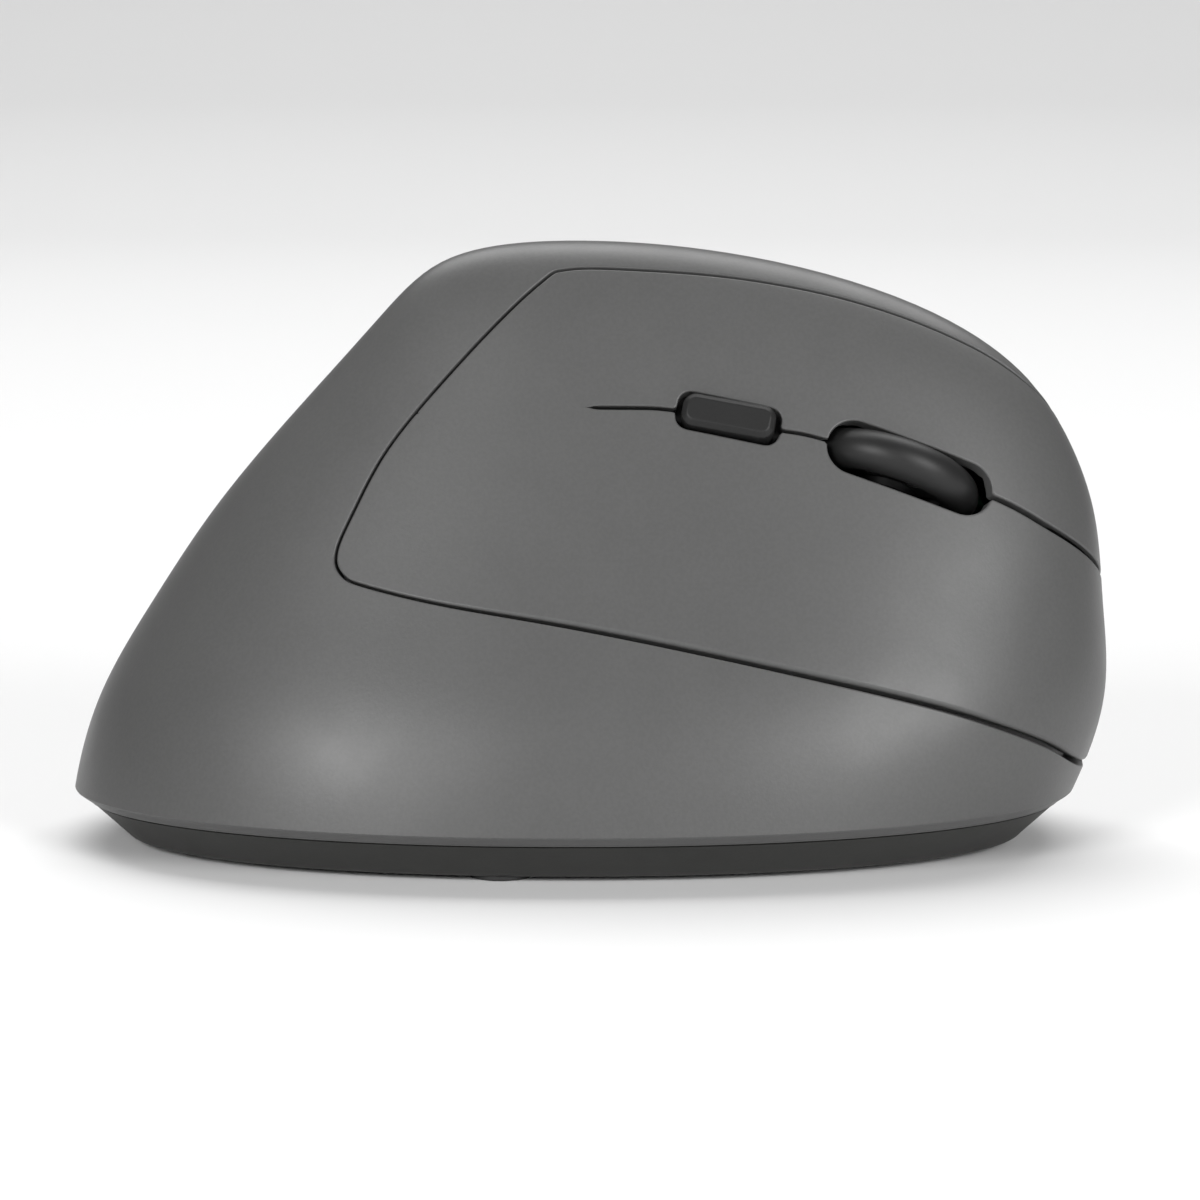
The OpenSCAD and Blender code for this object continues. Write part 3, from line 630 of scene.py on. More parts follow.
@dataclass(frozen=True)
class PanelPlane:
    """The key panel's own plane: u along the body, v up the panel and w out of it, in millimetres.

    Attributes:
        lean: How far the panel leans back from upright, in degrees.
    """

    lean: float = 25.0

    @property
    def matrix(self) -> Matrix:
        """The rotation from the panel's axes to the body's."""
        return Matrix.Rotation(math.radians(90 - self.lean), 4, "X")

    def local(self, points: np.ndarray) -> tuple[np.ndarray, np.ndarray, np.ndarray]:
        """The u, v and w of points."""
        s, c = math.sin(math.radians(self.lean)), math.cos(math.radians(self.lean))
        x, y, z = points[..., 0], points[..., 1], points[..., 2]
        return x, y * s + z * c, z * s - y * c

    def world(self, u: float, v: float, w: float) -> Vector:
        """A point of the panel's frame, in metres in the body's frame."""
        return self.matrix @ Vector((u, v, w)) * MM

    def placed(self, u: float, v: float, w: float, turn: float = 0.0) -> Matrix:
        """The matrix that sets a piece on the panel, turned by turn degrees, for a mesh in metres."""
        spin = Matrix.Rotation(math.radians(turn), 4, "Z")
        return Matrix.Translation(self.world(u, v, w)) @ self.matrix @ spin


SKIN = Skin()
PLANE = PanelPlane()


def polygon_distance(x: np.ndarray, y: np.ndarray, loop: np.ndarray) -> np.ndarray:
    """The distance inside a closed outline, negative outside.

    Args:
        x: First coordinates.
        y: Second coordinates.
        loop: The outline's points.

    Returns:
        The distances.
    """
    best = np.full(x.shape, np.inf)
    inside = np.zeros(x.shape, bool)
    for (ax, ay), (bx, by) in zip(loop, np.roll(loop, -1, axis=0)):
        ex, ey = bx - ax, by - ay
        long = ex * ex + ey * ey
        if long < 1e-12:
            continue
        t = np.clip(((x - ax) * ex + (y - ay) * ey) / long, 0, 1)
        best = np.minimum(best, (x - ax - t * ex) ** 2 + (y - ay - t * ey) ** 2)
        if ay != by:
            inside ^= ((ay > y) != (by > y)) & (x < ax + (y - ay) * ex / ey)
    return np.where(inside, 1, -1) * np.sqrt(best)


def stadium_distance(x: np.ndarray, y: np.ndarray, length: float, width: float) -> np.ndarray:
    """The distance inside a slot with round ends, negative outside."""
    half = (length - width) / 2
    dx = np.maximum(np.abs(x) - half, 0)
    return width / 2 - np.hypot(dx, y)


def rounded_distance(x: np.ndarray, y: np.ndarray, length: float, width: float, r: float) -> np.ndarray:
    """The distance inside a rectangle with rounded corners, negative outside."""
    dx, dy = np.abs(x) - length / 2 + r, np.abs(y) - width / 2 + r
    outside = np.hypot(np.maximum(dx, 0), np.maximum(dy, 0))
    return r - outside - np.minimum(np.maximum(dx, dy), 0)


def turned(
    x: np.ndarray, y: np.ndarray, centre: Sequence[float], degrees: float
) -> tuple[np.ndarray, np.ndarray]:
    """Coordinates along and across a shape that is turned by degrees at centre."""
    c, s = math.cos(math.radians(degrees)), math.sin(math.radians(degrees))
    dx, dy = x - centre[0], y - centre[1]
    return dx * c + dy * s, dy * c - dx * s


@dataclass(frozen=True)
class Layout:
    """Where the panel, its split and its openings are, in millimetres and degrees.

    Attributes:
        edge: The panel's outline, in its plane.
        split: The split between the keys, in the panel's plane.
        nose_y: How far round the nose the panel reaches.
        chin_z: How far down the nose it reaches.
        step_at: The step button's middle, in the panel's plane.
        step_turn: How far the step button is turned.
        step_size: The length and width of its hole.
        slot_at: The middle of the wheel's slot, in the panel's plane.
        slot_turn: How far the slot is turned.
        slot_size: The slot's length and width.
        thumb_x: Where each thumb button starts.
        thumb_size: A thumb button's length and height.
        thumb_z: The thumb buttons' height over the desk.
        thumb_corner: The radius of their corners.
    """

    edge: tuple[tuple[float, float], ...] = (
        (68, 34), (51, 46), (41.5, 50.7), (30, 54.2), (18, 56.2), (6, 57), (-2.5, 57), (-6, 55),
        (-15, 45.7), (-22.9, 36.2), (-27.3, 27.8), (-28.9, 23.5), (-28.2, 20.9), (-25.4, 19.2),
        (-15.8, 16.3), (1, 12.9), (23.4, 8.3), (40.4, 5.3), (51, 3.6), (68, 2),
    )
    split: tuple[tuple[float, float], ...] = (
        (-40, 39.8), (0, 39.8), (10, 39.5), (21, 37.5), (27, 36.4), (45.8, 31), (54, 27.8), (68, 22.9),
    )
    nose_y: float = -1.5
    chin_z: float = 9.0
    step_at: tuple[float, float] = (15.8, 38.7)
    step_turn: float = -11.0
    step_size: tuple[float, float] = (11.4, 4.0)
    slot_at: tuple[float, float] = (36.5, 33.7)
    slot_turn: float = -17.7
    slot_size: tuple[float, float] = (19.6, 6.4)
    thumb_x: tuple[float, float] = (-18.5, 5.5)
    thumb_size: tuple[float, float] = (21.0, 7.0)
    thumb_z: float = 49.5
    thumb_corner: float = 2.5

    def panel(self, points: np.ndarray) -> np.ndarray:
        """How far inside the panel's room the points are."""
        u, v, w = PLANE.local(points)
        inside = polygon_distance(u, v, through(self.edge))
        inside = soft_min(inside, points[..., 2] - self.chin_z, 3.0)
        inside = soft_min(inside, self.nose_y - points[..., 1], 4.0)
        return np.where(w > 0, inside, -10.0)

    def split_height(self, u: np.ndarray) -> np.ndarray:
        """The split's v at each u."""
        curve = through(self.split)
        return np.interp(u, curve[:, 0], curve[:, 1])

    def over_split(self, points: np.ndarray) -> np.ndarray:
        """How far the points are above the split."""
        u, v, _ = PLANE.local(points)
        return (v - self.split_height(u)) * 0.96

    def step_hole(self, points: np.ndarray, grow: float) -> np.ndarray:
        """How far inside the step button's hole, grown by grow, the points are."""
        u, v, _ = PLANE.local(points)
        x, y = turned(u, v, self.step_at, self.step_turn)
        return rounded_distance(x, y, self.step_size[0] + 2 * grow, self.step_size[1] + 2 * grow, 1.5)

    def slot_hole(self, points: np.ndarray) -> np.ndarray:
        """How far inside the wheel's slot the points are."""
        u, v, _ = PLANE.local(points)
        x, y = turned(u, v, self.slot_at, self.slot_turn)
        return stadium_distance(x, y, *self.slot_size)

    def thumb_hole(self, points: np.ndarray, index: int, grow: float) -> np.ndarray:
        """How far inside a thumb button's hole, grown by grow, the points are."""
        x = points[..., 0] - self.thumb_x[index] - self.thumb_size[0] / 2
        z = points[..., 2] - self.thumb_z
        length, height = (size + 2 * grow for size in self.thumb_size)
        inside = rounded_distance(x, z, length, height, self.thumb_corner + grow)
        return np.where(points[..., 1] > -2, inside, -10.0)


LAYOUT = Layout()


class Outline:
    """Finds where a field over the skin is zero, as closed loops of points."""

    SHARES = np.linspace(0.0, 0.992, 330)
    TURNS = np.arange(0.0, 360.0, 0.5)
    _grid: np.ndarray | None = None

    @classmethod
    def grid(cls) -> np.ndarray:
        """The skin's points at every share and turn, worked out once."""
        if cls._grid is None:
            cls._grid = SKIN.at(cls.SHARES[:, None], cls.TURNS[None, :])
        return cls._grid

    @classmethod
    def _crossing(cls, value: np.ndarray, key: tuple[int, int, int]) -> tuple[float, float]:
        """The share and turn where the field is zero on one edge of the grid."""
        kind, i, j = key
        m = len(cls.TURNS)
        a = value[i, j % m]
        b = value[i + 1, j % m] if kind == 0 else value[i, (j + 1) % m]
        f = a / (a - b)
        share = cls.SHARES[i] + (cls.SHARES[i + 1] - cls.SHARES[i]) * f if kind == 0 else cls.SHARES[i]
        turn = cls.TURNS[j % m] + (0.5 * f if kind == 1 else 0.0)
        return share, turn % 360

    @classmethod
    def loops(cls, region: Field) -> list[np.ndarray]:
        """The closed loops where region is zero.

        Args:
            region: The field, positive inside.

        Returns:
            Each loop as rows of share and turn.
        """
        value = region(cls.grid())
        m = len(cls.TURNS)
        inside = value > 0
        corners = np.stack(
            [inside[:-1], np.roll(inside, -1, 1)[:-1], np.roll(inside, -1, 1)[1:], inside[1:]], -1
        ).sum(-1)
        joined: dict[tuple[int, int, int], list] = {}
        for i, j in np.argwhere((corners > 0) & (corners < 4)):
            k = (j + 1) % m
            sides = [
                ((1, i, j), inside[i, j] != inside[i, k]),
                ((0, i, k), inside[i, k] != inside[i + 1, k]),
                ((1, i + 1, j), inside[i + 1, j] != inside[i + 1, k]),
                ((0, i, j), inside[i, j] != inside[i + 1, j]),
            ]
            ends = [key for key, crossed in sides if crossed]
            for a, b in zip(ends[::2], ends[1::2]):
                joined.setdefault(a, []).append(b)
                joined.setdefault(b, []).append(a)
        loops = []
        while joined:
            start = next(iter(joined))
            chain, here, last = [start], start, None
            while True:
                nearby = [k for k in joined.pop(here) if k != last]
                last = here
                follow = [k for k in nearby if k in joined]
                if not follow:
                    break
                here = follow[0]
                chain.append(here)
            if len(chain) > 12:
                loops.append(np.array([cls._crossing(value, key) for key in chain]))
        return loops

    @staticmethod
    def even(loop: np.ndarray, spacing: float) -> np.ndarray:
        """The loop's points again, evenly spaced by about spacing millimetres."""
        p = SKIN.at(loop[:, 0], loop[:, 1])
        closed = np.vstack([p, p[:1]])
        run = np.concatenate([[0], np.cumsum(np.linalg.norm(np.diff(closed, axis=0), axis=1))])
        count = max(int(run[-1] / spacing), 24)
        at = np.arange(count) * run[-1] / count
        return np.stack([np.interp(at, run, closed[:, k]) for k in range(3)], -1)


@dataclass
class Edge:
    """How the edge of a skin piece is rounded and goes down.

    Attributes:
        radius: The rounding's radius at points, in millimetres.
        strength: How much of the rounding there is at points, from 0 to 1.
        wall: Offsets outwards and depths of the rows that go down from the rounding, in millimetres.
    """

    radius: Field = lambda p: np.full(p.shape[:-1], 0.25)
    strength: Field = lambda p: np.ones(p.shape[:-1])
    wall: Rows = ()


@dataclass
class Sheet:
    """Points of a skin piece, gathered row by row before they are joined up.

    Attributes:
        place: Each point's share and turn.
        depth: How far it is rounded down, in millimetres.
        tilt: How far its normal leans outwards, from 0 to 1.
        out: The outward direction at the edge.
        lines: The pairs of points that stay joined.
    """

    place: list[np.ndarray] = field(default_factory=list)
    depth: list[np.ndarray] = field(default_factory=list)
    tilt: list[np.ndarray] = field(default_factory=list)
    out: list[np.ndarray] = field(default_factory=list)
    lines: list[np.ndarray] = field(default_factory=list)

    def add(
        self,
        place: np.ndarray,
        depth: np.ndarray | None = None,
        tilt: np.ndarray | None = None,
        out: np.ndarray | None = None,
        joined: bool = False,
    ) -> None:
        """Add a row of points.

        Args:
            place: Their shares and turns.
            depth: How far they are rounded down, or nothing where they aren't.
            tilt: How far their normals lean outwards.
            out: The outward direction at each.
            joined: Whether the row is a closed ring that stays joined.
        """
        if joined:
            index = np.arange(len(place)) + sum(map(len, self.place))
            self.lines.append(np.stack([index, np.roll(index, -1)], -1))
        self.place.append(place)
        self.depth.append(np.zeros(len(place)) if depth is None else depth)
        self.tilt.append(np.zeros(len(place)) if tilt is None else tilt)
        self.out.append(np.zeros((len(place), 3)) if out is None else out)


@dataclass
class SkinPiece:
    """A closed shell cut out of the skin.

    Attributes:
        name: The piece's name.
        region: The field that is positive where the piece is.
        depth: How far its inner face is below the skin.
        proud: How far its outer face stands out of the skin.
        edge: Its edge.
        spacing: The distance between the points of its edge.
        mesh_size: The distance between the points of its face.
        lip_rows: Insets and heights below the lip, where the piece reaches it.
        relief: How much thinner the piece is at points of the skin.
    """

    name: str
    region: Field
    depth: float
    edge: Edge = field(default_factory=Edge)
    proud: float = 0.0
    spacing: float = 0.6
    mesh_size: float = 1.5
    lip_rows: Rows = ()
    relief: Field | None = None

    ROUND_ROWS = (0.0, 0.08, 0.25, 0.5, 1.0)
    LIP_COUNT = 360

    @staticmethod
    def _disc(share: np.ndarray, turn: np.ndarray) -> np.ndarray:
        """The skin laid out flat as a disc, with the crown in its middle."""
        a = np.radians(turn)
        return np.stack([(1 - share) * np.cos(a), (1 - share) * np.sin(a)], -1) * 100

    @staticmethod
    def _undisc(flat: np.ndarray) -> tuple[np.ndarray, np.ndarray]:
        """The share and turn of points of the disc."""
        flat = flat / 100
        return 1 - np.hypot(flat[:, 0], flat[:, 1]), np.degrees(np.arctan2(flat[:, 1], flat[:, 0])) % 360

    def _lattice(self, clear: float) -> np.ndarray:
        """Evenly spread places on the skin that are clear of the edge, as share and turn."""
        rows, rise = [], 0.0
        while rise < 0.985:
            ring = SKIN.at(np.full(73, rise), np.linspace(0, 360, 73))
            around = np.linalg.norm(np.diff(ring, axis=0), axis=1).sum()
            count = max(int(around / self.mesh_size), 8)
            turn = (np.arange(count) + 0.5 * (len(rows) % 2)) * 360 / count
            rows.append(np.stack([np.full(count, rise), turn], -1)[: count if rise > 0 else 0])
            up = np.linalg.norm(SKIN.at(rise + 0.01, 180.0) - SKIN.at(rise, 180.0)) / 0.01
            rise += 0.86 * self.mesh_size / up
        rows.append(np.array([[1.0, 0.0]]))
        places = np.concatenate(rows)
        keep = self.region(SKIN.at(places[:, 0], places[:, 1])) > clear
        return places[keep]

    def _edge_rows(self, loop: np.ndarray, sheet: Sheet) -> None:
        """Add the rows of points that round the edge along one loop.

        Args:
            loop: The loop's shares and turns.
            sheet: Where the rows are added.
        """
        share, turn = SKIN.place(Outline.even(loop, self.spacing))
        p = SKIN.at(share, turn)
        inward = np.cross(SKIN.normal(share, turn), np.roll(p, -1, 0) - np.roll(p, 1, 0))
        inward /= np.linalg.norm(inward, axis=1, keepdims=True)
        gain = self.region(p + inward * 0.15) - self.region(p - inward * 0.15)
        if np.median(gain) < 0:
            inward = -inward
        radius, strength = self.edge.radius(p), self.edge.strength(p)
        for part in self.ROUND_ROWS:
            place = np.stack(SKIN.place(p + inward * (radius * part)[:, None]), -1)
            sink = radius * (1 - np.sqrt(max(1 - (1 - part) ** 2, 0.0)))
            sheet.add(place, sink * strength, (1 - part) * strength, -inward, joined=True)

    def build(self) -> bpy.types.Object:
        """Make the piece's mesh.

        Returns:
            The object, in metres, at the origin.
        """
        sheet = Sheet()
        for loop in Outline.loops(self.region):
            self._edge_rows(loop, sheet)
        if self.lip_rows:
            turn = np.arange(self.LIP_COUNT) * 360 / self.LIP_COUNT
            sheet.add(np.stack([np.zeros(self.LIP_COUNT), turn], -1), joined=True)
        sheet.add(self._lattice(0.55 * self.mesh_size))
        gathered = (sheet.place, sheet.depth, sheet.tilt, sheet.out)
        place, depth, tilt, out = (np.concatenate(rows) for rows in gathered)
        flat = [Vector(q) for q in self._disc(place[:, 0], place[:, 1])]
        result = delaunay_2d_cdt(flat, np.concatenate(sheet.lines).tolist(), [], 0, 1e-7, True)
        points, faces, origin = result[0], result[2], result[3]
        flat = np.array([[q.x, q.y] for q in points])
        tri = np.array([list(f) for f in faces if len(f) == 3])
        tri = tri[self.region(SKIN.at(*self._undisc(flat[tri].mean(1)))) > 0]
        source = np.array([o[0] if o else -1 for o in origin])
        known = source >= 0
        share, turn = self._undisc(flat)
        share[known], turn[known] = place[source[known], 0], place[source[known], 1]
        depth = np.where(known, depth[source], 0.0)
        tilt = np.where(known, tilt[source], 0.0)
        out = np.where(known[:, None], out[source], 0.0)
        return self._shell(share, turn, depth, tilt, out, tri)

    def _wall_rows(
        self, p: np.ndarray, n: np.ndarray, out: np.ndarray, at_lip: np.ndarray
    ) -> list[np.ndarray]:
        """The rows of points that go down from the edge, or in from the lip.

        Args:
            p: The edge's points on the skin.
            n: The skin's outward directions there.
            out: The directions out of the piece, along the skin.
            at_lip: Which of the points are on the lip.

        Returns:
            The rows, from the outer face to the inner one.
        """
        level = n.copy()
        level[:, 2] = 0
        level /= np.linalg.norm(level, axis=1, keepdims=True)
        walls, lips = list(self.edge.wall), list(self.lip_rows)
        rows = max(len(walls), len(lips))
        walls += walls[-1:] * (rows - len(walls))
        lips += lips[-1:] * (rows - len(lips))
        made = [p + out * offset - n * deep for offset, deep in walls]
        for k, (inset, z) in enumerate(lips):
            low = p - level * inset
            low[:, 2] = z
            made[k] = np.where(at_lip[:, None], low, made[k])
        return made

    def _shell(
        self,
        share: np.ndarray,
        turn: np.ndarray,
        depth: np.ndarray,
        tilt: np.ndarray,
        out: np.ndarray,
        tri: np.ndarray,
    ) -> bpy.types.Object:
        """Close the cut-out sheet into a shell.

        Args:
            share: Each point's share.
            turn: Each point's turn.
            depth: How far each point is rounded down.
            tilt: How far its normal leans outwards, from 0 to 1.
            out: The outward direction at the edge.
            tri: The sheet's triangles.

        Returns:
            The finished object.
        """
        p, n = SKIN.at(share, turn), SKIN.normal(share, turn)
        shade = n * np.sqrt(1 - tilt**2)[:, None] + out * tilt[:, None]
        a, b, c = (p[tri[:, k]] for k in range(3))
        inside_out = np.einsum("ij,ij->i", np.cross(b - a, c - a), n[tri[:, 0]]) < 0
        tri = np.where(inside_out[:, None], tri[:, ::-1], tri)
        count = len(p)
        thin = self.relief(p) if self.relief else np.zeros(count)
        every = np.concatenate([p - n * (depth - self.proud)[:, None], p - n * (self.depth - thin)[:, None]])
        faces = [list(t) for t in tri] + [list(t[::-1] + count) for t in tri]
        normals = [shade[t] for t in tri] + [-n[t[::-1]] for t in tri]
        sides = {(t[k], t[(k + 1) % 3]): None for t in tri for k in range(3)}
        rim = [(i, j) for i, j in sides if (j, i) not in sides]
        ring = np.array(sorted({i for side in rim for i in side}))
        at_lip = (share[ring] < 1e-6) & (np.abs(out[ring]).sum(1) == 0)
        layers = [ring]
        for row in self._wall_rows(p[ring], n[ring], out[ring], at_lip):
            index = np.arange(len(ring)) + len(every)
            for other in (layers[-1], ring + count):
                index = np.where(np.linalg.norm(row - every[other], axis=1) < 1e-6, other, index)
            every = np.concatenate([every, row])
            layers.append(index)
        layers.append(ring + count)
        slot_of = {i: k for k, i in enumerate(ring)}
        for upper, lower in zip(layers, layers[1:]):
            for a, b in rim:
                i, j = slot_of[a], slot_of[b]
                corners = {int(lower[i]): a, int(lower[j]): b, int(upper[j]): b, int(upper[i]): a}
                if len(corners) < 3:
                    continue
                faces.append(list(corners))
                if upper is ring and not at_lip[i]:
                    normals.append(out[list(corners.values())])
                    continue
                spot = every[list(corners)]
                across = np.cross(spot[2] - spot[0], spot[-1] - spot[1])
                normals.append(np.tile(across / max(np.linalg.norm(across), 1e-12), (len(corners), 1)))
        return self._object(every, faces, normals)

    def _object(
        self, points: np.ndarray, faces: Sequence[Sequence[int]], normals: Sequence[np.ndarray]
    ) -> bpy.types.Object:
        """The object with these faces, without the points that no face uses.

        Args:
            points: The points, in millimetres.
            faces: The points' numbers round each face.
            normals: The outward direction at each corner of each face.

        Returns:
            The object, in metres, at the origin.
        """
        used, renumbered = np.unique(np.concatenate(faces), return_inverse=True)
        ends = np.cumsum([len(face) for face in faces])
        faces = [part.tolist() for part in np.split(renumbered.ravel(), ends[:-1])]
        mesh = bpy.data.meshes.new(self.name)
        mesh.from_pydata((points[used] * MM).tolist(), [], faces)
        mesh.polygons.foreach_set("use_smooth", [True] * len(mesh.polygons))
        mesh.normals_split_custom_set([tuple(v) for group in normals for v in group])
        obj = bpy.data.objects.new(self.name, mesh)
        bpy.context.scene.collection.objects.link(obj)
        return obj


# ---------------------------------------------------------------- sub-assemblies


@dataclass
class Casing:
    """The grip casing with its thumb buttons.

    Attributes:
        wall: The casing's wall, in millimetres.
        ledge: How far its ledge reaches under the key panel.
        gap: The seam round each thumb button.
        proud: How far the thumb buttons stand out.
        button: How far their inner faces are below the skin.
    """

    wall: float = 2.0
    ledge: float = 2.4
    gap: float = 0.3
    proud: float = 0.95
    button: float = 1.8

    def region(self, points: np.ndarray) -> np.ndarray:
        """The skin without the panel's opening and the thumb buttons' holes."""
        inside = -LAYOUT.panel(points)
        for index in (0, 1):
            inside = np.minimum(inside, -LAYOUT.thumb_hole(points, index, self.gap))
        return inside

    def shell(self) -> bpy.types.Object:
        """The casing itself, with the turned-in strip under its lip."""
        edge = Edge(
            radius=lambda p: np.full(p.shape[:-1], 0.22),
            wall=((0.0, 2.65), (self.ledge, 2.65), (self.ledge, 3.8), (-0.06, 3.8), (-0.06, self.wall)),
        )
        lip = ((0.1, 6.22), (0.32, 6.05), (1.35, 5.35), (1.6, 5.1), (3.4, 5.1))
        piece = SkinPiece("casing", self.region, self.wall, edge, mesh_size=1.5, lip_rows=lip)
        obj = GREY.dress(piece.build())
        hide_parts("body_shell")
        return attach(obj, "casing")

    def thumb_button(self, index: int, node: str, body: str) -> bpy.types.Object:
        """One of the thumb buttons.

        Args:
            index: 0 for the back one and 1 for the forward one.
            node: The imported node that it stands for.
            body: The body that it rides on.

        Returns:
            The button.
        """
        edge = Edge(radius=lambda p: np.full(p.shape[:-1], 0.7))
        region = partial(LAYOUT.thumb_hole, index=index, grow=0.0)
        piece = SkinPiece(node, region, self.button, edge, proud=self.proud, spacing=0.4, mesh_size=0.9)
        obj = BUTTON_BLACK.dress(piece.build())
        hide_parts(node)
        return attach(obj, body)

    def build(self) -> None:
        """Make the casing and both thumb buttons."""
        self.shell()
        self.thumb_button(0, "back_button", "back_key")
        self.thumb_button(1, "forward_button", "forward_key")


@dataclass
class KeyPanel:
    """The one-piece key panel, as an upper and a lower half that meet behind the split.

    Attributes:
        gap: The seam round the panel.
        low_gap: How much wider the lower seam is.
        split: The width of the split where it is open.
        thick: The panel's thickness.
        hole_gap: The seam round the step button.
        wheel_room: The radius that is kept free for the wheel, under the slot's ends.
    """

    gap: float = 0.32
    low_gap: float = 0.24
    split: float = 0.4
    thick: float = 1.8
    hole_gap: float = 0.28
    wheel_room: float = 11.3

    def split_gap(self, points: np.ndarray) -> np.ndarray:
        """Half the split's width at points: nothing behind its blind end, and wider towards the nose."""
        u = points[..., 0]
        return step_up(u, -0.4, 0.8) * (self.split / 2 + 0.13 * step_up(u, 38, 52))

    def half(self, points: np.ndarray, side: int) -> np.ndarray:
        """How far inside one half the points are, with side 1 above the split and -1 below it."""
        inside = LAYOUT.panel(points) - self.gap - self.low_gap * self.low_seam(points)
        beside = side * LAYOUT.over_split(points) - self.split_gap(points)
        soft = soft_min(inside, beside, 0.35)
        inside = np.where(points[..., 0] > 4.0, soft, np.minimum(inside, beside))
        inside = np.minimum(inside, -LAYOUT.step_hole(points, self.hole_gap))
        return np.minimum(inside, -LAYOUT.slot_hole(points))

    @staticmethod
    def low_seam(points: np.ndarray) -> np.ndarray:
        """How much of the lower seam's width and rounding there is at points, from 0 to 1."""
        u, v, _ = PLANE.local(points)
        return step_up(-v, -25.0, -19.0) * step_up(u, -26.0, 12.0)

    def radius(self, points: np.ndarray) -> np.ndarray:
        """The edge's rounding: larger along the lower seam."""
        near = step_up(-LAYOUT.panel(points), -1.6, -0.9)
        return 0.24 + 0.36 * self.low_seam(points) * near

    def strength(self, points: np.ndarray, side: int) -> np.ndarray:
        """No rounding where the halves meet behind the split."""
        seam = LAYOUT.panel(points) - self.gap - self.low_gap * self.low_seam(points)
        beside = side * LAYOUT.over_split(points) - self.split_gap(points)
        return np.where(beside < seam, step_up(points[..., 0], -0.4, 1.4), 1.0)

    def relief(self, points: np.ndarray) -> np.ndarray:
        """How much thinner the panel is at points, which keeps it off the wheel at the slot's rear end."""
        u, v, w = PLANE.local(points)
        x, y = turned(u, v, LAYOUT.slot_at, LAYOUT.slot_turn)
        along, _ = turned(u, v, ScrollWheel.centre[:2], LAYOUT.slot_turn)
        rise = np.sqrt(np.clip(self.wheel_room**2 - along**2, 0, None))
        over = ScrollWheel.centre[2] + rise - (w - self.thick)
        return np.clip(over, 0, 1.1) * step_up(np.abs(x), 8.0, 9.2) * (1 - step_up(np.abs(y), 2.4, 3.4))

    def build(self) -> None:
        """Make both halves."""
        bend = [PLANE.world(u, 40, 37) for u in (-6.0, 9.0)]
        for name, side, body, nodes in (
            ("key_panel_upper", 1, "left_key", ("left_button", "key_plate")),
            ("key_panel_lower", -1, "right_key", ("right_button", "key_plate")),
        ):
            edge = Edge(self.radius, partial(self.strength, side=side))
            region = partial(self.half, side=side)
            piece = SkinPiece(name, region, self.thick, edge, spacing=0.45, mesh_size=1.3, relief=self.relief)
            obj = KEY_GREY.dress(piece.build())
            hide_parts(*nodes)
            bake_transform(obj)


@dataclass
class StepButton:
    """The black step button in the split.

    Attributes:
        length: Along the split.
        width: Across it.
        top: The height of its top out of the panel's plane.
        corner: The radius of its corners.
        collar: The heights where the collar under the key starts and ends.
        stem: The heights where the stem starts and ends.
        points: How many points go round it.
    """

    length: float = 10.7
    width: float = 3.9
    top: float = 39.08
    corner: float = 1.5
    collar: tuple[float, float] = (34.0, 35.1)
    stem: tuple[float, float] = (29.27, 34.17)
    points: int = 40

    def build(self) -> bpy.types.Object:
        """Make the cap with its chamfers, collar and stem.

        Returns:
            The button.
        """
        (collar_z, stem_z), (collar_h, stem_h) = zip(
            *(((low + high) / 2 * MM, (high - low) * MM) for low, high in (self.collar, self.stem))
        )
        size = ((self.length + 1.9) * MM, (self.width + 1.5) * MM, collar_h)
        collar = bevel(cuboid("collar", (0, 0, collar_z), size), 0.25 * MM, 2)
        stem = bevel(drum("stem", 1.4 * MM, stem_h, 32, Matrix.Translation((0, 0, stem_z))), 0.2 * MM, 2)
        obj = join("step_button", [self.cap(), collar, stem])
        obj.data.transform(PLANE.placed(*LAYOUT.step_at, 0, LAYOUT.step_turn))
        smooth(obj, 40)
        modify(obj, "WEIGHTED_NORMAL", weight=100, keep_sharp=True)
        BUTTON_BLACK.dress(obj)
        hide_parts("dpi_button")
        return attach(obj, "step_key")

    def cap(self) -> bpy.types.Object:
        """The cap: a rounded bar, with a chamfer round its flat top.

        Returns:
            The closed cap, in the panel's frame.
        """
        rows = (
            (0.0, 34.9), (0.0, self.top - 0.66), (0.03, self.top - 0.54), (0.1, self.top - 0.46),
            (0.5, self.top - 0.1), (0.62, self.top - 0.03), (0.78, self.top),
        )
        rings = []
        for inset, height in rows:
            length, width = self.length - 2 * inset, self.width - 2 * inset
            rings.append(rounded_ring(length, width, max(self.corner - inset, 0.3), height, self.points))
        return loft("cap", rings)


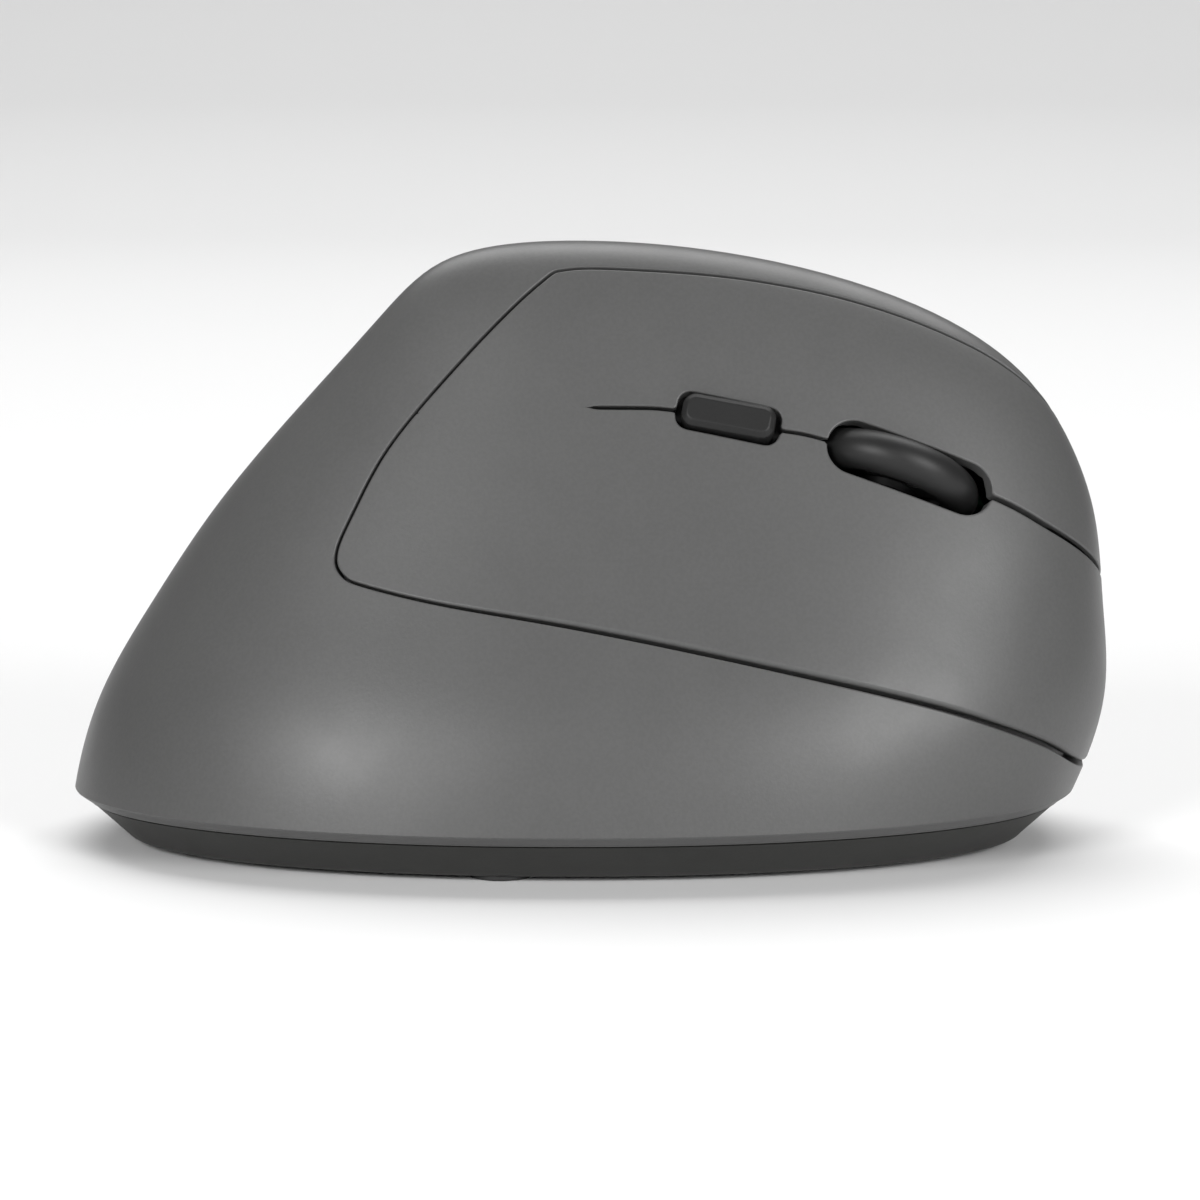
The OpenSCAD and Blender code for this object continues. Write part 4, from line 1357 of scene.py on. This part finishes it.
@dataclass
class ScrollWheel:
    """The wheel: a rubber tyre on a spoked hub.

    Attributes:
        centre: Its centre in the panel's frame.
        radius: Over the tyre.
        width: Of the tyre.
        rim: The radius where the tyre sits.
        axle: The axle's radius.
        shift: How far the tyre sits towards the axle's upper end.
        sag: How much lower the tyre's shoulders are than its crown.
    """

    centre: tuple[float, float, float] = (34.6, 34.3, 28.1)
    radius: float = 10.4
    width: float = 4.8
    rim: float = 7.9
    axle: float = 1.5
    shift: float = 0.28
    sag: float = 2.3

    @property
    def place(self) -> Matrix:
        """The matrix that sets a piece modelled round Z on the axle."""
        return PLANE.placed(*self.centre, LAYOUT.slot_turn) @ Matrix.Rotation(math.radians(-90), 4, "X")

    def tyre(self) -> bpy.types.Object:
        """The tyre: a profile spun round the axle, with a full round crown.

        Returns:
            The tyre.
        """
        half = self.width / 2
        arc = [math.radians(degrees) for degrees in range(-90, 91, 10)]
        crown = [(self.radius - self.sag * (1 - math.cos(a)), self.shift + half * math.sin(a)) for a in arc]
        profile = [(self.rim, self.shift - half), *crown, (self.rim, self.shift + half)]
        return self._spun("wheel_tyre", profile, 128)

    def _spun(self, name: str, profile: Sequence[tuple[float, float]], steps: int) -> bpy.types.Object:
        """A closed profile of radius and height, in millimetres, spun round Z and set on the axle."""
        deselect()
        bpy.ops.mesh.primitive_circle_add(vertices=len(profile), radius=MM)
        obj = newest(name)
        for vertex, (r, z) in zip(obj.data.vertices, profile):
            vertex.co = (r * MM, 0, z * MM)
        only(obj)
        bpy.ops.object.mode_set(mode="EDIT")
        bpy.ops.mesh.select_all(action="SELECT")
        bpy.ops.mesh.spin(steps=steps, angle=2 * math.pi, center=(0, 0, 0), axis=(0, 0, 1))
        bpy.ops.mesh.select_all(action="SELECT")
        bpy.ops.mesh.remove_doubles(threshold=0.000002)
        bpy.ops.mesh.normals_make_consistent(inside=False)
        bpy.ops.object.mode_set(mode="OBJECT")
        obj.data.transform(self.place)
        return face_out(obj)

    def hub(self) -> bpy.types.Object:
        """The hub: a dished core with six holes, on its axle.

        Returns:
            The hub.
        """
        half, seat = self.width / 2 - 0.75, self.rim - 0.05
        dish = half - 0.7
        side = [(1.6, half), (3.0, half), (3.4, dish), (6.6, dish), (7.0, half), (seat, half)]
        profile = [(r, -z) for r, z in side] + side[::-1]
        core = self._spun("core", profile, 72)
        for i in range(6):
            turn = Matrix.Rotation(math.radians(60 * i + 2.5), 4, "Z") @ Matrix.Translation((5.0 * MM, 0, 0))
            cut(core, drum("hole", 1.2 * MM, 10 * MM, 24, self.place @ turn))
        boss = drum("boss", 2.6 * MM, 8.4 * MM, 40, self.place)
        axle = drum("axle", self.axle * MM, 16.8 * MM, 32, self.place @ Matrix.Translation((0, 0, -2.0 * MM)))
        for part, size in ((boss, 0.2), (axle, 0.25)):
            bevel(part, size * MM, 2)
        return join("wheel_hub", [core, boss, axle])

    def build(self) -> None:
        """Make the tyre and the hub."""
        tyre = smooth(self.tyre(), 50)
        TYRE_BLACK.dress(tyre)
        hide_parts("wheel_tyre")
        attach(tyre, "wheel")
        hub = smooth(self.hub(), 35)
        HUB_BLACK.dress(hub)
        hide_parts("wheel_hub")
        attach(hub, "wheel")


@dataclass
class Base:
    """The base plate with its feet, door, slider and receiver.

    Attributes:
        taper: How far the plate tapers in.
        floor: The thickness of its floor.
        foot: The thickness of the feet.
        top: The height of its top.
        count: How many points its rings have.
        pads: The middle, length and width of each foot.
        pad_corner: The radius of the feet's corners.
        travel: How far the power slider moves.
    """

    taper: float = 6.0
    floor: float = 2.0
    foot: float = 0.6
    top: float = 5.0
    count: int = 240
    pads: tuple[tuple[float, float, float, float], ...] = (
        (-44, -5, 7, 24), (41, 0, 7, 28), (-10, -27, 7.2, 7.2), (0, 27, 7.2, 7.2),
    )
    pad_corner: float = 3.45
    travel: float = 2.5

    def lofted(self, name: str, rows: Sequence[tuple[float, float]]) -> bpy.types.Object:
        """A block extruded from the lip's outline through rows of inset and height, in millimetres.

        Args:
            name: Its name.
            rows: The insets and heights, from the bottom up.

        Returns:
            The closed block.
        """
        return loft(name, [SKIN.lip_ring(*row, self.count) for row in rows])

    def plate(self) -> bpy.types.Object:
        """The plate: a tapered tray with its openings and a locating rim.

        Returns:
            The plate.
        """
        taper, foot, top, brim = self.taper, self.foot, self.top, self.top + 1.8
        rows = [
            (taper + 1.1, foot), (taper + 0.6, foot + 0.08), (taper + 0.2, foot + 0.3),
            (taper - 0.2, foot + 0.7), (1.95, top - 0.12), (2.1, top), (3.9, top), (3.9, brim),
            (5.1, brim), (5.1, top), (taper + 2.2, foot + self.floor),
        ]
        obj = self.lofted("base_plate", rows)
        cut(obj, self._room("door_room", node_box("battery_door"), 0.4))
        cut(obj, self._room("receiver_room", node_box("receiver_cap", "receiver_plug"), 0.3))
        knob = self._middle("power_slider") + Vector((self.travel / 2 * MM, 0, 0))
        cut(obj, self._hole("slider_room", knob, 6.9 * MM, 3.2 * MM))
        window = self._hole("window", self._middle("optical_sensor"), 9 * MM, 7 * MM)
        cut(obj, bevel(window, 2 * MM, 6))
        return smooth(obj, 30)

    @staticmethod
    def _middle(name: str) -> Vector:
        """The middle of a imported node's box."""
        low, high = node_box(name)
        return (low + high) / 2

    @staticmethod
    def _hole(name: str, middle: Vector, length: float, width: float) -> bpy.types.Object:
        """A box that reaches through the floor, with its length and width in metres."""
        return cuboid(name, (middle.x, middle.y, 1.6 * MM), (length, width, 6 * MM))

    def _room(self, name: str, box: tuple[Vector, Vector], gap: float) -> bpy.types.Object:
        """A box through the floor round a node's footprint, with gap millimetres at each end."""
        low, high = box
        size = high - low
        return self._hole(name, (low + high) / 2, size.x + 2 * gap * MM, size.y + 0.6 * MM)

    def feet(self) -> bpy.types.Object:
        """The glide feet: two long pads and two round ones, with softened edges.

        Returns:
            The feet, as one piece.
        """
        pads = []
        for k, (x, y, length, width) in enumerate(self.pads):
            middle = Vector((x, y, self.foot / 2)) * MM
            pad = cuboid(f"pad{k}", middle, (length * MM, width * MM, self.foot * MM))
            pick(pad, lambda a, b: abs(a.z - b.z) > 0.3 * MM)
            bpy.ops.mesh.bevel(offset=self.pad_corner * MM, segments=12)
            bpy.ops.object.mode_set(mode="OBJECT")
            pick(pad, lambda a, b: max(a.z, b.z) < 0.1 * MM)
            bpy.ops.mesh.bevel(offset=0.2 * MM, segments=3)
            bpy.ops.object.mode_set(mode="OBJECT")
            pads.append(pad)
        return smooth(join("glide_feet", pads), 40)

    def door(self) -> bpy.types.Object:
        """The battery door, with three grip grooves at its latch end.

        Returns:
            The door.
        """
        low, high = node_box("battery_door")
        middle, size = (low + high) / 2, high - low
        face = 0.7 * MM
        door = cuboid("door", (middle.x, middle.y, face + 0.8 * MM), (size.x, size.y, 1.6 * MM))
        bevel(door, 0.25 * MM, 3)
        latch = cuboid("latch", (low.x + 3.5 * MM, middle.y, 2.6 * MM), (1 * MM, 8 * MM, 0.8 * MM))
        for k in range(3):
            place = (low.x + (5 + 1.6 * k) * MM, middle.y, face)
            cut(door, cuboid("groove", place, (0.7 * MM, 7 * MM, 0.7 * MM)))
        return smooth(join("battery_door", [door, latch]), 30)

    def slider(self) -> bpy.types.Object:
        """The power slider's knob with grip ridges, on its plate.

        Returns:
            The slider.
        """
        x, y, _ = self._middle("power_slider")
        knob = cuboid("knob", (x, y, 1.8 * MM), (3.8 * MM, 2.6 * MM, 2 * MM))
        bevel(knob, 0.2 * MM, 2)
        for k in (-1, 0, 1):
            cut(knob, cuboid("ridge", (x + k * 0.9 * MM, y, 0.8 * MM), (0.35 * MM, 3 * MM, 0.5 * MM)))
        plate = cuboid("plate", (x, y, 3.1 * MM), (6 * MM, 5.2 * MM, 0.8 * MM))
        tip = cuboid("tip", (x, y, 3.9 * MM), (1.6 * MM, 1.6 * MM, 1.0 * MM))
        return smooth(join("power_slider", [knob, plate, tip]), 30)

    def receiver(self) -> bpy.types.Object:
        """The stored receiver's cap, with rounded edges.

        Returns:
            The cap.
        """
        low, high = node_box("receiver_cap")
        cap = cuboid("receiver_cap", (low + high) / 2, high - low)
        bevel(cap, 0.7 * MM, 4)
        return smooth(cap, 30)

    def build(self) -> None:
        """Make the base's pieces and dress them."""
        for obj, finish, node, body in (
            (self.plate(), BASE_DARK, "base_plate", "casing"),
            (self.feet(), FOOT_BLACK, "glide_feet", "casing"),
            (self.door(), BASE_DARK, "battery_door", "door"),
            (self.slider(), BUTTON_BLACK, "power_slider", "slider"),
            (self.receiver(), RECEIVER, "receiver_cap", "receiver"),
        ):
            finish.dress(obj)
            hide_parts(node)
            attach(obj, body)


class Internals:
    """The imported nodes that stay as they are, each with a finish of its own."""

    FINISHES: dict[str, Finish] = {
        "base_screws": STEEL, "power_switch": CAN, "receiver_plug": STEEL, "battery_cell": JACKET,
        "battery_terminal": STEEL, "battery_spring": STEEL, "battery_contact": STEEL,
        "chassis_plate": CHASSIS, "chassis_screws": STEEL, "button_board": BOARD, "board_screws": STEEL,
        "left_switch": SWITCH, "left_plunger": PIN, "right_switch": SWITCH, "right_plunger": PIN,
        "dpi_switch": SWITCH, "dpi_plunger": PIN, "wheel_switch": SWITCH, "wheel_plunger": PIN,
        "wheel_cradle": CHASSIS, "encoder_disc": CAN, "encoder_reader": SWITCH, "side_board": BOARD,
        "side_screws": STEEL, "forward_switch": SWITCH, "forward_plunger": PIN, "back_switch": SWITCH,
        "back_plunger": PIN, "main_board": BOARD, "main_screws": STEEL, "optical_sensor": CHIP,
        "sensor_lens": LENS, "sensor_led": LED, "controller_chip": CHIP, "crystal": CAN,
        "capacitors": CAN, "ribbon_cable": RIBBON, "ribbon_sockets": SOCKET, "side_ribbon": RIBBON,
    }

    def build(self) -> None:
        """Dress the nodes."""
        for name, finish in self.FINISHES.items():
            finish.dress(frame["nodes"][name])


@dataclass
class Studio:
    """The floor, the lights and the camera.

    Attributes:
        target: What the camera looks at, in metres.
        elevation: The camera's height over the horizon, in degrees.
        distance: The camera's distance.
        lens: Its focal length, in millimetres.
        surround: The strength of the even surround.
        sweep: Where the floor starts to sweep up, behind the mouse.
    """

    target: tuple[float, float, float] = (0.0012, -0.00425, 0.028)
    elevation: float = 8.8
    distance: float = 0.6
    lens: float = 154.1
    surround: float = 0.14
    sweep: float = 0.9

    def camera(self) -> None:
        """Set the camera on the finger side."""
        rise = math.radians(self.elevation)
        back = Vector((0, -math.cos(rise), math.sin(rise)))
        data = bpy.data.cameras.new("camera")
        data.lens, data.sensor_width = self.lens, 36.0
        data.clip_start = 0.01
        camera = bpy.data.objects.new("camera", data)
        bpy.context.scene.collection.objects.link(camera)
        camera.location = Vector(self.target) + back * self.distance
        camera.rotation_euler = (math.radians(90 - self.elevation), 0, 0)
        bpy.context.scene.camera = camera

    def light(self, name: str, place: Sequence[float], size: tuple[float, float], power: float) -> None:
        """A rectangular soft light at place that looks at the mouse."""
        data = bpy.data.lights.new(name, "AREA")
        data.shape = "RECTANGLE"
        data.size, data.size_y = size
        data.energy = power
        lamp = bpy.data.objects.new(name, data)
        bpy.context.scene.collection.objects.link(lamp)
        lamp.location = place
        aim = Vector(self.target) - Vector(place)
        lamp.rotation_euler = aim.to_track_quat("-Z", "Y").to_euler()

    def floor(self) -> None:
        """A pale floor that sweeps up far behind the mouse."""
        deselect()
        bpy.ops.mesh.primitive_plane_add(size=6.0, location=(0, 0, 0))
        floor = settle(newest("floor"))
        only(floor)
        bpy.ops.object.mode_set(mode="EDIT")
        bpy.ops.mesh.subdivide(number_cuts=24)
        bpy.ops.object.mode_set(mode="OBJECT")
        for vertex in floor.data.vertices:
            back = max(vertex.co.y - self.sweep, 0.0)
            vertex.co.z = back * back * 0.7
        smooth(floor, 60)
        material = bpy.data.materials.new("floor_white")
        material.use_nodes = True
        shader = material.node_tree.nodes["Principled BSDF"]
        shader.inputs["Base Color"].default_value = (0.78, 0.78, 0.78, 1)
        shader.inputs["Roughness"].default_value = 0.6
        floor.data.materials.append(material)
        floor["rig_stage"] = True

    def world(self) -> None:
        """An even pale surround."""
        world = bpy.data.worlds.new("surround")
        world.use_nodes = True
        back = world.node_tree.nodes["Background"]
        back.inputs["Color"].default_value = (1, 1, 1, 1)
        back.inputs["Strength"].default_value = self.surround
        bpy.context.scene.world = world

    def build(self) -> None:
        """Set the scene."""
        self.floor()
        bpy.context.scene.view_settings.view_transform = "Standard"
        self.world()
        self.light("left_softbox", (-0.52, -0.82, 0.42), (0.42, 0.42), 8.0)
        self.light("right_softbox", (0.62, -0.74, 0.36), (0.42, 0.42), 8.0)
        self.light("overhead", (0.0, 0.6, 1.1), (1.6, 0.8), 18.0)
        self.camera()


def main() -> None:
    """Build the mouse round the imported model, and report each piece."""
    logging.basicConfig(level=logging.INFO, format="%(name)s: %(message)s")
    Studio().build()
    for part in (Casing(), KeyPanel(), StepButton(), ScrollWheel(), Base(), Internals()):
        part.build()
        log.info("%s built", type(part).__name__)
    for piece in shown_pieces():
        if piece.type == "MESH" and "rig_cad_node" not in piece:
            log.info("%s: %d faces", piece.name, len(piece.data.polygons))


if __name__ == "__main__":
    main()
